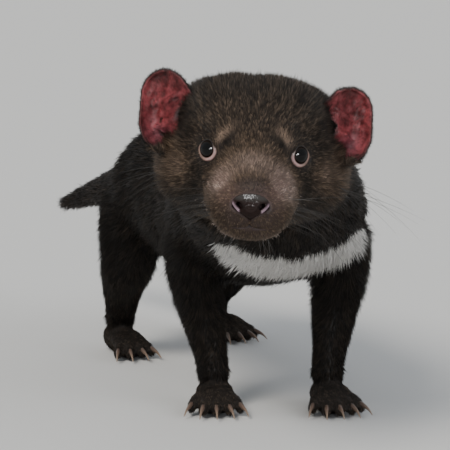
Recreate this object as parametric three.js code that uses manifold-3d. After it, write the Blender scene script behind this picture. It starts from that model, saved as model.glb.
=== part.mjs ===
// A young Tasmanian devil, life size, standing on its four feet with its head turned to the viewer.
// Millimetres, +Z up, +X the way the body faces, +Y to the animal's left.
// The origin is on the floor, under the middle of the model's box.
// Every surface is the outside of the short coat, and neighbouring pieces keep a gap of 0.3 mm.

import * as THREE from 'three';
import { LoftGeometry } from 'three/addons/geometries/LoftGeometry.js';
import { mergeVertices } from 'three/addons/utils/BufferGeometryUtils.js';
import Module from 'manifold-3d';

const wasm = await Module();
wasm.setup();

const GAP = 0.3;
const FAR = 400;

// Where the parts of the body stand: a frame on the floor under the shoulders and one under the hips.
const SHOULDERS = { x: 72, y: -4, turn: -20 };
const HIPS = { x: -84, y: 10, turn: 3 };
// The head's frame lies midway between the eyes: x along the muzzle, y to the left, z to the crown.
const HEAD = { x: 168, y: -60, z: 162, turn: -26, nod: 2, roll: -3.8 };

const EYE_SPACING = 49;
const EYE_RADIUS = 6.4;
const EYE_OPENING = { wide: 8.2, high: 9 };
const EYE_GAZE = { out: 30, up: 8 };
// The nose's pad narrows below its middle, down to this share of its width at the foot.
const NOSE = { x: 39.5, z: -22.4, long: 7, wide: 9.8, high: 6.6, foot: 0.25 };
const MUZZLE_WIDTH = 46;
const HEAD_WIDTH = 102;
const EAR = { x: -22, edge: 60.5, bottom: -7.5, height: 40, width: 25, depth: 10, thick: 1.7 };
// How far an ear's outer edge is drawn in at the root, how far it is turned outwards, how far its
// root stands ahead of its tip, and how much higher the right ear is pricked.
const EAR_SET = { tuck: 10, swing: 0.4, lean: 10, prick: 1.5 };

const TORSO_WIDTH = 106;
const TAIL_LENGTH = 136;

const coat = new THREE.MeshStandardMaterial({ color: 0x2a2420, roughness: 0.9, metalness: 0 });
const faceCoat = new THREE.MeshStandardMaterial({ color: 0x4a3f36, roughness: 0.9, metalness: 0 });
const earSkin = new THREE.MeshStandardMaterial({ color: 0x9c4a48, roughness: 0.6, metalness: 0 });
const noseSkin = new THREE.MeshStandardMaterial({ color: 0x1c1516, roughness: 0.3, metalness: 0 });
const eyeBlack = new THREE.MeshStandardMaterial({ color: 0x0b0908, roughness: 0.05, metalness: 0 });
const pawCoat = new THREE.MeshStandardMaterial({ color: 0x33291f, roughness: 0.8, metalness: 0 });
const horn = new THREE.MeshStandardMaterial({ color: 0x9b8672, roughness: 0.45, metalness: 0 });

const radians = THREE.MathUtils.degToRad;
const vector = (x, y, z) => new THREE.Vector3(x, y, z);

// A value that runs smoothly through the given ones as t goes from 0 to 1.
function smooth(values, t) {
  const curve = new THREE.SplineCurve(values.map((value, i) => new THREE.Vector2(i, value)));
  return curve.getPoint(t).y;
}

// One closed outline: an oval, squarer as square rises, with its own reach above and below.
function outline(centre, side, up, size, scale, sides) {
  const points = [];
  for (let i = 0; i < sides; i++) {
    const turn = (i / sides) * 2 * Math.PI;
    const [c, s] = [Math.cos(turn), Math.sin(turn)];
    const across = Math.sign(c) * Math.abs(c) ** (2 / size.square) * size.wide;
    const along = Math.sign(s) * Math.abs(s) ** (2 / size.square) * (s > 0 ? size.high : size.low);
    points.push(centre.clone().addScaledVector(side, across * scale).addScaledVector(up, along * scale));
  }
  return points;
}

// A body form: outlines set along a smooth line through its stations, with a dome at each end.
// A station is { at, wide, high, low, square }; low is high, and square 2, where left out.
// Steps are the angles at which each dome has an outline.
const PLAIN = { sides: 14, rings: 8, side: vector(0, 1, 0), domes: [4, 4], steps: [75, 40] };
function form(stations, options) {
  const { sides, rings, side, domes, steps } = { ...PLAIN, ...options };
  const line = new THREE.CatmullRomCurve3(stations.map((s) => vector(...s.at)), false, 'catmullrom', 0.5);
  const sizes = ['wide', 'high', 'low', 'square'];
  const defaults = (s, key) => s[key] ?? { low: s.high, square: 2 }[key];
  const columns = Object.fromEntries(sizes.map((key) => [key, stations.map((s) => defaults(s, key))]));
  const sections = [];
  const addSection = (t, shift, scale) => {
    const ahead = line.getTangent(t).normalize();
    const up = ahead.clone().cross(side).normalize();
    const left = up.clone().cross(ahead).normalize();
    const size = Object.fromEntries(sizes.map((key) => [key, smooth(columns[key], t)]));
    const centre = line.getPoint(t).addScaledVector(ahead, shift);
    sections.push(outline(centre, left, up, size, scale, sides));
  };
  const domeSteps = steps.map(radians);
  for (const a of domeSteps) addSection(0, -domes[0] * Math.sin(a), Math.cos(a));
  for (let i = 0; i <= rings; i++) addSection(i / rings, 0, 1);
  for (const a of domeSteps.toReversed()) addSection(1, domes[1] * Math.sin(a), Math.cos(a));
  return new LoftGeometry(sections, { capStart: true, capEnd: true });
}

// The geometry's places alone, each vertex shared by the faces that meet in it.
function welded(geometry) {
  const bare = new THREE.BufferGeometry().copy(geometry);
  bare.deleteAttribute('normal');
  bare.deleteAttribute('uv');
  return mergeVertices(bare, 1e-4);
}

// The geometry pushed out at each swelling and then grown all over.
// A swelling is { at, lift, spread }; a negative lift makes a hollow.
function modelled(geometry, swellings = [], grow = 0) {
  const merged = welded(geometry);
  const place = merged.attributes.position;
  const push = (amount) => {
    merged.computeVertexNormals();
    const normal = merged.attributes.normal;
    for (let i = 0; i < place.count; i++) {
      const p = vector().fromBufferAttribute(place, i);
      p.addScaledVector(vector().fromBufferAttribute(normal, i), amount(p));
      place.setXYZ(i, p.x, p.y, p.z);
    }
  };
  const swell = (p) =>
    swellings.reduce((sum, { at, lift, spread }) => {
      const [sx, sy, sz] = Array.isArray(spread) ? spread : [spread, spread, spread];
      const d = ((p.x - at[0]) / sx) ** 2 + ((p.y - at[1]) / sy) ** 2 + ((p.z - at[2]) / sz) ** 2;
      return sum + lift * Math.exp(-d / 2);
    }, 0);
  if (swellings.length) push(swell);
  if (grow) push(() => grow);
  return merged;
}

function solidOf(geometry) {
  const merged = welded(geometry);
  return new wasm.Manifold(
    new wasm.Mesh({
      numProp: 3,
      vertProperties: merged.attributes.position.array,
      triVerts: new Uint32Array(merged.index.array),
    }),
  );
}

function formSolid(stations, options = {}, swellings = [], grow = 0) {
  return solidOf(modelled(form(stations, options), swellings, grow));
}

function placed(geometry, at, turns = [0, 0, 0]) {
  const turn = new THREE.Quaternion().setFromEuler(new THREE.Euler(...turns.map(radians), 'ZYX'));
  return geometry.applyMatrix4(new THREE.Matrix4().compose(vector(...at), turn, vector(1, 1, 1)));
}

function ball(at, radius, detail) {
  return solidOf(placed(new THREE.SphereGeometry(radius, detail, Math.round(detail * 0.7)), at));
}

function box(size, at, turns) {
  return solidOf(placed(new THREE.BoxGeometry(...size), at, turns));
}

const joinedAll = (solids) => solids.reduce((sum, solid) => sum.add(solid));
const moved = (solid, matrix) => solid.transform(matrix.elements);

// The solid's largest closed surface.
function largest(solid) {
  return solid.decompose().reduce((best, piece) => (piece.volume() > best.volume() ? piece : best));
}

// The main pieces that thin cuts leave of a solid, from the far end of one axis to its near end.
function parted(solid, cuts, count, axis) {
  const middle = (piece) => {
    const { min, max } = piece.boundingBox();
    return (min[axis] + max[axis]) / 2;
  };
  const left = cuts.reduce((rest, cut) => rest.subtract(cut), solid).decompose();
  const main = left.sort((a, b) => b.volume() - a.volume()).slice(0, count);
  return main.sort((a, b) => middle(b) - middle(a));
}

function nodeMesh(name, solid, material) {
  const made = largest(solid).getMesh();
  const places = new Float32Array(made.numVert * 3);
  for (let i = 0; i < made.numVert; i++)
    for (let k = 0; k < 3; k++) places[i * 3 + k] = made.vertProperties[i * made.numProp + k];
  const geometry = new THREE.BufferGeometry();
  geometry.setAttribute('position', new THREE.BufferAttribute(places, 3));
  geometry.setIndex(new THREE.BufferAttribute(made.triVerts, 1));
  geometry.computeVertexNormals();
  const mesh = new THREE.Mesh(geometry, material);
  mesh.name = name;
  return mesh;
}

function frameGroup(x, y, z, turn, nod = 0, roll = 0) {
  const group = new THREE.Group();
  group.position.set(x, y, z);
  group.rotation.set(radians(roll), radians(nod), radians(turn), 'ZYX');
  group.updateMatrix();
  return group;
}

const SIDES = [['left', 1], ['right', -1]];
const bothSides = (make) => SIDES.flatMap(([, sign]) => make(sign));

const headFrame = frameGroup(HEAD.x, HEAD.y, HEAD.z, HEAD.turn, HEAD.nod, HEAD.roll);
const shoulderFrame = frameGroup(SHOULDERS.x, SHOULDERS.y, 0, SHOULDERS.turn);
const hipFrame = frameGroup(HIPS.x, HIPS.y, 0, HIPS.turn);
const inverse = (group) => group.matrix.clone().invert();

// The head: outlines from the nape to the front of the muzzle, each with the height of its widest level.
const cheek = HEAD_WIDTH / 2;
const snout = MUZZLE_WIDTH / 2;
const HEAD_STATIONS = [
  { at: [-58, 0, -8], wide: cheek - 11, high: 35, low: 33, square: 2.2 },
  { at: [-46, 0, -8], wide: cheek - 3, high: 41, low: 36, square: 2.5 },
  { at: [-31, 0, -10], wide: cheek, high: 44.5, low: 35, square: 2.75 },
  { at: [-16, 0, -14], wide: cheek - 3.5, high: 44, low: 31, square: 2.75 },
  { at: [-3, 0, -18], wide: cheek - 13, high: 37, low: 25, square: 2.5 },
  { at: [10, 0, -22], wide: snout + 6, high: 26, low: 21, square: 2.3 },
  { at: [22, 0, -25], wide: snout + 1, high: 18.5, low: 17, square: 2.35 },
  { at: [32, 0, -26], wide: snout - 2.5, high: 14.5, low: 15, square: 2.4 },
];
const HEAD_SWELLINGS = [
  { at: [24, 0, -8], lift: 1.2, spread: 7 },
  { at: [-4, 0, 22], lift: -1, spread: [9, 6, 9] },
  { at: [34, 0, -41], lift: 1, spread: 6 },
  ...bothSides((sign) => [
    { at: [30, 15 * sign, -27], lift: 2.4, spread: [8, 8, 6] },
    { at: [13, 27 * sign, -17], lift: -1.8, spread: 8 },
    { at: [7, EYE_SPACING * 0.53 * sign, 0], lift: -3.4, spread: [9, 6, 5.5] },
    { at: [5, EYE_SPACING * 0.4 * sign, 11], lift: 2.2, spread: [8, 6, 4.5] },
    { at: [-18, 47 * sign, -18], lift: 2, spread: 12 },
    { at: [-14, 45 * sign, 8], lift: -5.5, spread: [9, 9, 12] },
  ]),
];
const HEAD_DETAIL = { sides: 36, rings: 22, domes: [8, 9.5], steps: [80, 55, 28] };
const headSolid = (grow) => formSolid(HEAD_STATIONS, HEAD_DETAIL, HEAD_SWELLINGS, grow);

// How far forward the head's surface lies at a place seen from the front.
const headSkin = new THREE.Mesh(modelled(form(HEAD_STATIONS, HEAD_DETAIL), HEAD_SWELLINGS));
headSkin.updateMatrixWorld();
const surfaceAt = (y, z) =>
  new THREE.Raycaster(vector(FAR, y, z), vector(-1, 0, 0)).intersectObject(headSkin)[0].point.x;

// The eyeballs sit behind lids that grow from the head and leave a round opening.
const LID = { thick: 1.1, sunk: 5.2 };
const gazeTurns = (sign) => [0, -EYE_GAZE.up, EYE_GAZE.out * sign];
const eyeGaze = (sign) =>
  vector(1, 0, 0).applyEuler(new THREE.Euler(...gazeTurns(sign).map(radians), 'ZYX'));
const eyePlace = (sign) => {
  const y = (EYE_SPACING / 2) * sign;
  return vector(surfaceAt(y, 0), y, 0).addScaledVector(eyeGaze(sign), -LID.sunk).toArray();
};
const eyeball = (sign, grow = 0) => ball(eyePlace(sign), EYE_RADIUS + grow, 14);

function withLids(head) {
  return SIDES.reduce((rest, [, sign]) => {
    const lids = ball(eyePlace(sign), EYE_RADIUS + LID.thick, 18);
    const reach = 3 * EYE_RADIUS;
    const slit = new THREE.CylinderGeometry(1, 1, reach, 16).rotateZ(-Math.PI / 2);
    slit.translate(reach / 2, 0, 0).scale(1, EYE_OPENING.wide / 2, EYE_OPENING.high / 2);
    const opening = solidOf(placed(slit, eyePlace(sign), gazeTurns(sign)));
    return rest.add(lids).subtract(opening).subtract(eyeball(sign, GAP));
  }, head);
}

// The wet nose, set in the front of the muzzle, with a nostril on each side and a groove below.
function noseSolid(grow = 0) {
  const stations = [
    { at: [NOSE.x - NOSE.long, 0, NOSE.z], wide: NOSE.wide - 1.5, high: NOSE.high - 1, square: 2.2 },
    { at: [NOSE.x, 0, NOSE.z], wide: NOSE.wide, high: NOSE.high, square: 2.3 },
    { at: [NOSE.x + 2.5, 0, NOSE.z], wide: NOSE.wide - 1, high: NOSE.high - 0.8, square: 2.2 },
  ];
  const pad = welded(form(stations, { sides: 22, rings: 3, domes: [2, 4], steps: [70, 38] }));
  const place = pad.attributes.position;
  for (let i = 0; i < place.count; i++) {
    const low = THREE.MathUtils.smoothstep(NOSE.z - place.getZ(i), 0, NOSE.high);
    place.setY(i, place.getY(i) * (1 - (1 - NOSE.foot) * low));
  }
  return solidOf(modelled(pad, [], grow));
}

// A nostril slants outwards and up.
function nostril(sign) {
  const hole = [
    { at: [NOSE.x + 1, 4.4 * sign, NOSE.z + 0.6], wide: 1.2, high: 0.9 },
    { at: [NOSE.x + 3.2, 5.2 * sign, NOSE.z + 0.9], wide: 2, high: 1.4 },
    { at: [NOSE.x + 6, 6.4 * sign, NOSE.z + 1.4], wide: 2.6, high: 1.8 },
  ];
  const slant = vector(0, 0.8 * sign, 0.6);
  return formSolid(hole, { sides: 10, rings: 3, domes: [1, 1], steps: [45], side: slant });
}

function noseWithNostrils() {
  const groove = box([8, 0.7, 7], [NOSE.x + 8.2, 0, NOSE.z - 6]);
  return noseSolid().subtract(nostril(1)).subtract(nostril(-1)).subtract(groove);
}

// The line of the mouth, seen from the side, from the throat round the corner of the lips to the front.
const MOUTH = { lips: 0.9, front: -33.5, corner: [4, -31] };
function mouthCut() {
  const [cornerX, cornerZ] = MOUTH.corner;
  const line = new THREE.CatmullRomCurve3([
    vector(FAR / 8, MOUTH.front + 0.5, 0),
    vector(40, MOUTH.front, 0),
    vector(27, MOUTH.front - 2.6, 0),
    vector(14, MOUTH.front - 1.8, 0),
    vector(cornerX, cornerZ, 0),
  ]);
  const upper = line.getPoints(9).map((p) => new THREE.Vector2(p.x, p.y + MOUTH.lips / 2));
  const lower = line.getPoints(9).map((p) => new THREE.Vector2(p.x, p.y - MOUTH.lips / 2));
  const throat = [new THREE.Vector2(cornerX - 9, -FAR / 4), new THREE.Vector2(cornerX - 9 + GAP, -FAR / 4)];
  const corner = [new THREE.Vector2(cornerX - GAP, cornerZ)];
  const shape = new THREE.Shape([...upper, ...corner, ...throat, ...lower.reverse()]);
  const cut = new THREE.ExtrudeGeometry(shape, { depth: FAR / 2, bevelEnabled: false, steps: 1 });
  return solidOf(cut.translate(0, 0, -FAR / 4).rotateX(Math.PI / 2));
}

// A place on an ear: u runs from its root to its tip, v from its inner to its outer edge.
// The outer edge is nearly upright and tucked in at the root, the top is round, and the hollow opens
// to the front.
function earPoint(sign, u, v, behind = 0) {
  const round = Math.sqrt(Math.max(0, 1 - (Math.max(0, u - 0.68) / 0.32) ** 2));
  const narrowing = 0.5 * (1 - Math.min(1, u / 0.68)) ** 1.6;
  const half = (EAR.width / 2) * (1 - narrowing) * Math.max(round, 0.12);
  const tuck = EAR_SET.tuck * (1 - Math.min(1, u / 0.34)) ** 2;
  const middle = EAR.edge - tuck - (EAR.width / 2) * (1 - narrowing);
  const hollow = EAR.depth * (1 - v * v) * (1 + 0.35 * v) * (1 - 0.8 * u * u);
  const swing = EAR_SET.swing * (middle + v * half - EAR.edge + EAR.width / 2);
  return vector(
    EAR.x + 3 - hollow - swing + EAR_SET.lean * (1 - u) ** 1.5 - 3 * u * u - behind,
    (middle + v * (half + behind * 0.5)) * sign,
    EAR.bottom + (EAR.height - EAR_SET.prick * sign) * u + behind * 0.6 * u * u,
  );
}

function earLeaf(sign) {
  const across = 8;
  const sections = [0, 0.16, 0.32, 0.5, 0.66, 0.78, 0.88, 0.95, 0.985, 1].map((u) => {
    const edges = Array.from({ length: across + 1 }, (_, j) => (j / across) * 2 - 1);
    const row = (behind) => edges.map((v) => earPoint(sign, u, v, behind));
    const ring = [...row(0), ...row(EAR.thick).reverse()];
    return sign > 0 ? ring : ring.reverse();
  });
  return solidOf(new LoftGeometry(sections, { capStart: true, capEnd: true }));
}

// The two folds inside the ear: a ridge across its upper half and a lobe above its root.
function earFolds(sign) {
  const fold = (places, wide, high) =>
    formSolid(
      places.map(([u, v, sunk], i) => ({
        at: earPoint(sign, u, v, sunk).toArray(),
        wide: wide * [0.7, 1, 0.75][i],
        high: high * [0.8, 1, 0.8][i],
      })),
      { sides: 8, rings: 4, domes: [1, 1], side: vector(1, 0, 0), steps: [45] },
    );
  const ridge = fold([[0.56, 0.1, 1], [0.64, -0.2, 0.9], [0.76, -0.5, 1]], 1.9, 1.8);
  const lobe = fold([[0.26, 0.2, 1], [0.33, -0.15, 0.7], [0.42, -0.5, 0.9]], 2.3, 2.6);
  return joinedAll([ridge, lobe]);
}

// The trunk: one form from the tail's root to the chest, bent towards the side the head turns to.
const girth = TORSO_WIDTH / 2;
const TRUNK_STATIONS = [
  { at: [-123, 10, 111], wide: 14, high: 14.5 },
  { at: [-110, 11, 113], wide: girth - 28, high: 25, low: 26 },
  { at: [-94, 11, 111], wide: girth - 13, high: 36, low: 36 },
  { at: [-68, 11, 106], wide: girth - 4, high: 46, low: 42 },
  { at: [-30, 10, 104], wide: girth, high: 51, low: 44 },
  { at: [8, 7, 105], wide: girth + 1, high: 54, low: 44 },
  { at: [42, 3, 110], wide: girth, high: 54, low: 46 },
  { at: [70, -4, 117], wide: girth - 1, high: 50, low: 47 },
  { at: [94, -17, 127], wide: girth - 5, high: 48, low: 46 },
  { at: [113, -31, 139], wide: girth - 7, high: 46, low: 42 },
  { at: [130, -43, 149], wide: girth - 8, high: 43, low: 38 },
];
const trunkSwellings = () => {
  const hip = (x, y, z) => vector(x, y, z).applyMatrix4(hipFrame.matrix).toArray();
  const shoulder = (x, y, z) => vector(x, y, z).applyMatrix4(shoulderFrame.matrix).toArray();
  return bothSides((sign) => [
    { at: shoulder(0, 46 * sign, 104), lift: 6, spread: [20, 14, 22] },
    { at: hip(4, 44 * sign, 96), lift: 5, spread: [24, 14, 24] },
  ]);
};
const TRUNK_DETAIL = { sides: 28, rings: 24, domes: [3, 6] };
const trunkSolid = (grow) => formSolid(TRUNK_STATIONS, TRUNK_DETAIL, trunkSwellings(), grow);

// The tail, thick at its root.
const TAIL_STATIONS = [0, 0.15, 0.4, 0.65, 0.87, 1].map((t) => ({
  at: [-112 - TAIL_LENGTH * t, 11 - 14 * t * t, 113 - 42 * t],
  wide: 10 * (1 - t) + 5.5 + 1.5 * Math.sin(Math.PI * t),
  high: 11 * (1 - t) + 5.5 + 1.5 * Math.sin(Math.PI * t),
}));
const tailSolid = () => formSolid(TAIL_STATIONS, { sides: 12, rings: 10, domes: [2, 7] });

// A foreleg in the shoulders' frame, its fore-and-aft place set by stride.
const foreleg = (sign, stride, grow) =>
  formSolid(
    [
      { at: [-4, 30 * sign, 118], wide: 18, high: 27 },
      { at: [-6, 39 * sign, 97], wide: 19.5, high: 25 },
      { at: [-8 + stride * 0.3, 41 * sign, 76], wide: 17.5, high: 20, low: 22 },
      { at: [-5 + stride * 0.6, 38 * sign, 54], wide: 13.5, high: 14.5 },
      { at: [1 + stride, 34 * sign, 32], wide: 10, high: 10.4 },
      { at: [5 + stride, 32 * sign, 18], wide: 9.6, high: 9 },
    ],
    { sides: 16, rings: 10, domes: [5, 5] },
    [],
    grow,
  );

// A hind leg in the hips' frame: thigh, shank, and the hock above the heel.
const hindleg = (sign, stride, grow) =>
  formSolid(
    [
      { at: [6, 26 * sign, 114], wide: 17, high: 31, low: 28 },
      { at: [8, 36 * sign, 92], wide: 19, high: 33, low: 31 },
      { at: [9 + stride * 0.3, 41 * sign, 69], wide: 17, high: 26, low: 27 },
      { at: [-3 + stride * 0.7, 41 * sign, 48], wide: 13, high: 17 },
      { at: [-14 + stride, 38 * sign, 31], wide: 10.2, high: 12 },
      { at: [-19 + stride, 37 * sign, 19], wide: 9.6, high: 10 },
    ],
    { sides: 16, rings: 10, domes: [5, 4] },
    [],
    grow,
  );

// A foot from its heel to its palm, each a place along it and a height, and its toes.
// A toe is its turn outwards in degrees, its share of the reach, and how far its root is moved.
const FOREFOOT = {
  heel: [0, 9], palm: [18, 8.5], wide: 12.5, reach: 13, thick: 3.1,
  toes: [[-40, 0.74, -3], [-19, 0.94, 0], [0, 1, 0], [19, 0.95, 0], [38, 0.84, -2]],
};
const HINDFOOT = {
  heel: [-5, 9], palm: [25, 8.5], wide: 11.5, reach: 12, thick: 3.1,
  toes: [[-31, 0.88, -1], [-10, 1, 0], [11, 1, 0], [32, 0.9, -1]],
};
const SOLE = 1.4;

// A toe's root, knuckle and tip, in the foot's own frame with the foot's middle at y 0.
function toeLine(foot, [fan, length, back]) {
  const spread = Math.sin(radians(fan));
  const root = vector(foot.palm[0] - 3 + back, spread * foot.wide * 1.15, 8.5);
  const ahead = vector(Math.cos(radians(fan * 0.7)), Math.sin(radians(fan * 0.7)), 0);
  const tip = root.clone().addScaledVector(ahead, foot.reach * length).setZ(4.2);
  const knuckle = root.clone().lerp(tip, 0.5).setZ(8.2);
  return { root, knuckle, tip, ahead };
}

function footSolid(foot, grow) {
  const sole = [
    { at: [foot.heel[0], 0, foot.heel[1]], wide: foot.wide - 2.2, high: 10, low: foot.heel[1] + SOLE },
    { at: [(foot.heel[0] + foot.palm[0]) / 2, 0, 9], wide: foot.wide - 1.6, high: 8, low: 9 + SOLE },
    { at: [foot.palm[0] - 4, 0, foot.palm[1]], wide: foot.wide, high: 6.4, low: foot.palm[1] + SOLE },
    { at: [foot.palm[0] + 1, 0, foot.palm[1] - 1.5], wide: foot.wide - 1.5, high: 4.5, low: 7 + SOLE },
  ];
  const options = { sides: 14, rings: 5, domes: [6, 2.5] };
  const toes = foot.toes.map((toe) => {
    const { root, knuckle, tip } = toeLine(foot, toe);
    const stations = [root, knuckle, tip].map((p, i) => ({
      at: p.toArray(),
      wide: foot.thick * [1.05, 1, 0.86][i],
      high: foot.thick * [1, 0.9, 0.8][i],
      low: foot.thick * [1.6, 1.7, 1.25][i],
    }));
    return formSolid(stations, { sides: 8, rings: 3, domes: [1, 2.2], steps: [50] }, [], grow);
  });
  const whole = joinedAll([formSolid(sole, options, [], grow), ...toes]);
  return whole.intersect(box([FAR, FAR, FAR], [0, 0, FAR / 2 - grow]));
}

// A claw grows from the toe's tip, bends down and ends in a point just clear of the floor.
const CLAW = { long: 9.5, wide: 1.25, high: 1.6, point: 0.32, arch: 0.9, drop: 3.7 };
function clawSolid(foot, toe) {
  const { tip, ahead } = toeLine(foot, toe);
  const root = tip.clone().add(vector(0, 0, 1.1));
  const stations = [0, 0.35, 0.7, 1].map((t) => {
    const bend = vector(0, 0, CLAW.arch * Math.sin(Math.PI * t) - CLAW.drop * t * t);
    return {
      at: root.clone().addScaledVector(ahead, CLAW.long * t).add(bend).toArray(),
      wide: CLAW.wide * (1 - t) + CLAW.point,
      high: CLAW.high * (1 - t) + CLAW.point,
    };
  });
  return formSolid(stations, { sides: 6, rings: 4, steps: [] });
}

// The two limbs of a girdle; stride sets how far each side's foot stands ahead of its place.
const LIMBS = [
  { foot: 'forepaw', leg: 'foreleg', frame: shoulderFrame, shape: FOREFOOT, limb: foreleg, x: 5, y: 32 },
  { foot: 'hindfoot', leg: 'hindleg', frame: hipFrame, shape: HINDFOOT, limb: hindleg, x: -19, y: 37 },
];
const STANCE = {
  forepaw_left: { stride: 6, turn: 8 },
  forepaw_right: { stride: 0, turn: -2 },
  hindfoot_left: { stride: -8, turn: 8 },
  hindfoot_right: { stride: 6, turn: -8 },
};

const devil = new THREE.Group();
devil.add(headFrame, shoulderFrame, hipFrame);

const headRoom = headSolid(GAP);
const wholeHead = withLids(headSolid(0)).subtract(noseSolid(GAP));
const [skull, jaw] = parted(wholeHead, [mouthCut()], 2, 2);
headFrame.add(nodeMesh('head', skull, faceCoat), nodeMesh('jaw', jaw, faceCoat));
headFrame.add(nodeMesh('nose', noseWithNostrils(), noseSkin));
for (const [name, sign] of SIDES) {
  headFrame.add(nodeMesh(`eye_${name}`, eyeball(sign), eyeBlack));
  headFrame.add(nodeMesh(`ear_${name}`, earLeaf(sign).add(earFolds(sign)).subtract(headRoom), earSkin));
}

// Thin cuts part the trunk into rump, belly, chest and neck.
const trunkGrown = trunkSolid(GAP);
const trunk = trunkSolid(0).subtract(moved(headRoom, headFrame.matrix));
const TRUNK_CUTS = [
  { at: [-34, 0, 0], turns: [0, 0, 0] },
  { at: [34, 0, 0], turns: [0, 0, -6] },
  { at: [98, -20, 130], turns: [0, -30, -36] },
];
const trunkCuts = TRUNK_CUTS.map(({ at, turns }) => box([GAP, FAR, FAR], at, turns));
const [neck, chest, belly, rump] = parted(trunk, trunkCuts, 4, 0);
devil.add(nodeMesh('neck', neck, coat), nodeMesh('chest', chest, coat));
devil.add(nodeMesh('belly', belly, coat), nodeMesh('rump', rump, coat));
devil.add(nodeMesh('tail', tailSolid().subtract(trunkGrown), coat));

function addLimb({ foot, leg, frame, shape, limb, x, y }, side, sign) {
  const footName = `${foot}_${side}`;
  const { stride, turn } = STANCE[footName];
  const footFrame = frameGroup(x + stride, y * sign, 0, turn);
  const footRoom = footSolid(shape, GAP);
  const trunkRoom = moved(trunkGrown, inverse(frame));
  const upper = limb(sign, stride, 0).subtract(trunkRoom).subtract(moved(footRoom, footFrame.matrix));
  footFrame.add(nodeMesh(footName, footSolid(shape, 0), pawCoat));
  shape.toes.forEach((toe, i) => {
    footFrame.add(nodeMesh(`${footName}_claw_${i + 1}`, clawSolid(shape, toe).subtract(footRoom), horn));
  });
  frame.add(nodeMesh(`${leg}_${side}`, upper, coat), footFrame);
}

for (const pair of LIMBS) for (const [side, sign] of SIDES) addLimb(pair, side, sign);

// The whole animal is moved so that the middle of its box is over the origin.
devil.updateMatrixWorld(true);
const bounds = new THREE.Box3().setFromObject(devil, true);
const middle = bounds.getCenter(vector());
devil.position.set(-middle.x, -middle.y, -bounds.min.z);

const model = new THREE.Group();
model.add(devil);

export default model;
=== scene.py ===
import math

import bmesh
import bpy
import numpy as np
from mathutils import Euler, Matrix, Vector
from mathutils.bvhtree import BVHTree
from mathutils.kdtree import KDTree


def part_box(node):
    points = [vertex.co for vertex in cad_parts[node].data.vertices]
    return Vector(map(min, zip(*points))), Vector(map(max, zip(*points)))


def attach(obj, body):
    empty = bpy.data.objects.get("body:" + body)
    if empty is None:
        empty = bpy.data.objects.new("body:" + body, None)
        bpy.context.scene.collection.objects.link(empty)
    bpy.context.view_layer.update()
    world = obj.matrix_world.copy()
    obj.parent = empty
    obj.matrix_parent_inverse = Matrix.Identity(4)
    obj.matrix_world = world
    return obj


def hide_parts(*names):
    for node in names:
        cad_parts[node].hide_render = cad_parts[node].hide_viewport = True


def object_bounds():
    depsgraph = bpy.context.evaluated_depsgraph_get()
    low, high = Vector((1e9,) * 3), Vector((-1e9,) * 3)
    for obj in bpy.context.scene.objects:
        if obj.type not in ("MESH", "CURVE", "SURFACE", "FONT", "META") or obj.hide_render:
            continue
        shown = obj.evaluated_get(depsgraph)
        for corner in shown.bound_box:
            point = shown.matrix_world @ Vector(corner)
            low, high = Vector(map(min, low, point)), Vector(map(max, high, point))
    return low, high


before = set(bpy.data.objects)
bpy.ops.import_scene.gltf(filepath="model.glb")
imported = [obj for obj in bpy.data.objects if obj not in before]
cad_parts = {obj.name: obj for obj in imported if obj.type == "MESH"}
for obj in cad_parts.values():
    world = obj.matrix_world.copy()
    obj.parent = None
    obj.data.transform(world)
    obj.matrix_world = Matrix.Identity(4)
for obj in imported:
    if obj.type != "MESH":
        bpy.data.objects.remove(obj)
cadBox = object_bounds()
mm = 0.001  # every size below is in millimetres, and becomes metres when a mesh is made
sides = {"left": 1, "right": -1}

flesh = ["head", "jaw", "neck", "chest", "belly", "rump", "tail"]
flesh += [f"{part}_{side}" for part in ("foreleg", "hindleg", "forepaw", "hindfoot") for side in sides]
plugs = ["nose", "eye_left", "eye_right"]
solids = flesh + plugs
legPairs = (("forepaw", "foreleg"), ("hindfoot", "hindleg"))
paws = {f"{paw}_{side}": f"{leg}_{side}" for paw, leg in legPairs for side in sides}


# numbers and fields

def unit(v):
    return v / np.maximum(np.linalg.norm(v, axis=-1, keepdims=True), 1e-9)


def ease(value, low, high):  # 0 at low, 1 at high, smooth between them
    t = np.clip((value - low) / (high - low), 0, 1)
    return t * t * (3 - 2 * t)


def bell(value, width):  # 1 at zero, falling off over the width
    return np.exp(-((value / width) ** 2))


def near(points, centre, spread):  # 1 at the centre, falling off over the spread
    return np.exp(-(((points - np.array(centre)) / np.array(spread)) ** 2).sum(-1) / 2)


def ripple(points, size, seed, waves=8):  # a smooth random field between about -1 and 1
    draw = np.random.default_rng(seed)
    ways = unit(draw.normal(size=(waves, 3))) * 2 * np.pi / size
    ways *= draw.uniform(0.6, 1.6, (waves, 1))
    phase = draw.uniform(0, 2 * np.pi, waves)
    return np.sin(points @ ways.T + phase).sum(1) / math.sqrt(waves) * 0.8


def laidFlat(ways, normals):  # the ways with their part along the normals taken out
    return unit(ways - (ways * normals).sum(-1, keepdims=True) * normals)


# meshes

def readAll(items, field, width, kind=np.float32):
    flat = np.empty(len(items) * width, kind)
    items.foreach_get(field, flat)
    return flat.reshape(-1, width)


def pointsOf(mesh):
    return readAll(mesh.vertices, "co", 3).astype(float) / mm


def normalsOf(mesh):
    return readAll(mesh.vertex_normals, "vector", 3).astype(float)


def trianglesOf(mesh):
    mesh.calc_loop_triangles()
    return readAll(mesh.loop_triangles, "vertices", 3, np.int32)


def setPoints(mesh, points):
    mesh.vertices.foreach_set("co", (points * mm).astype(np.float32).ravel())
    mesh.update()


def newMesh(name, points, faces=(), edges=()):
    mesh = bpy.data.meshes.new(name)
    mesh.from_pydata((np.asarray(points) * mm).tolist(), edges, faces)
    mesh.shade_smooth()
    return mesh


def newObject(name, data):
    made = bpy.data.objects.new(name, data)
    bpy.context.scene.collection.objects.link(made)
    return made


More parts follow.
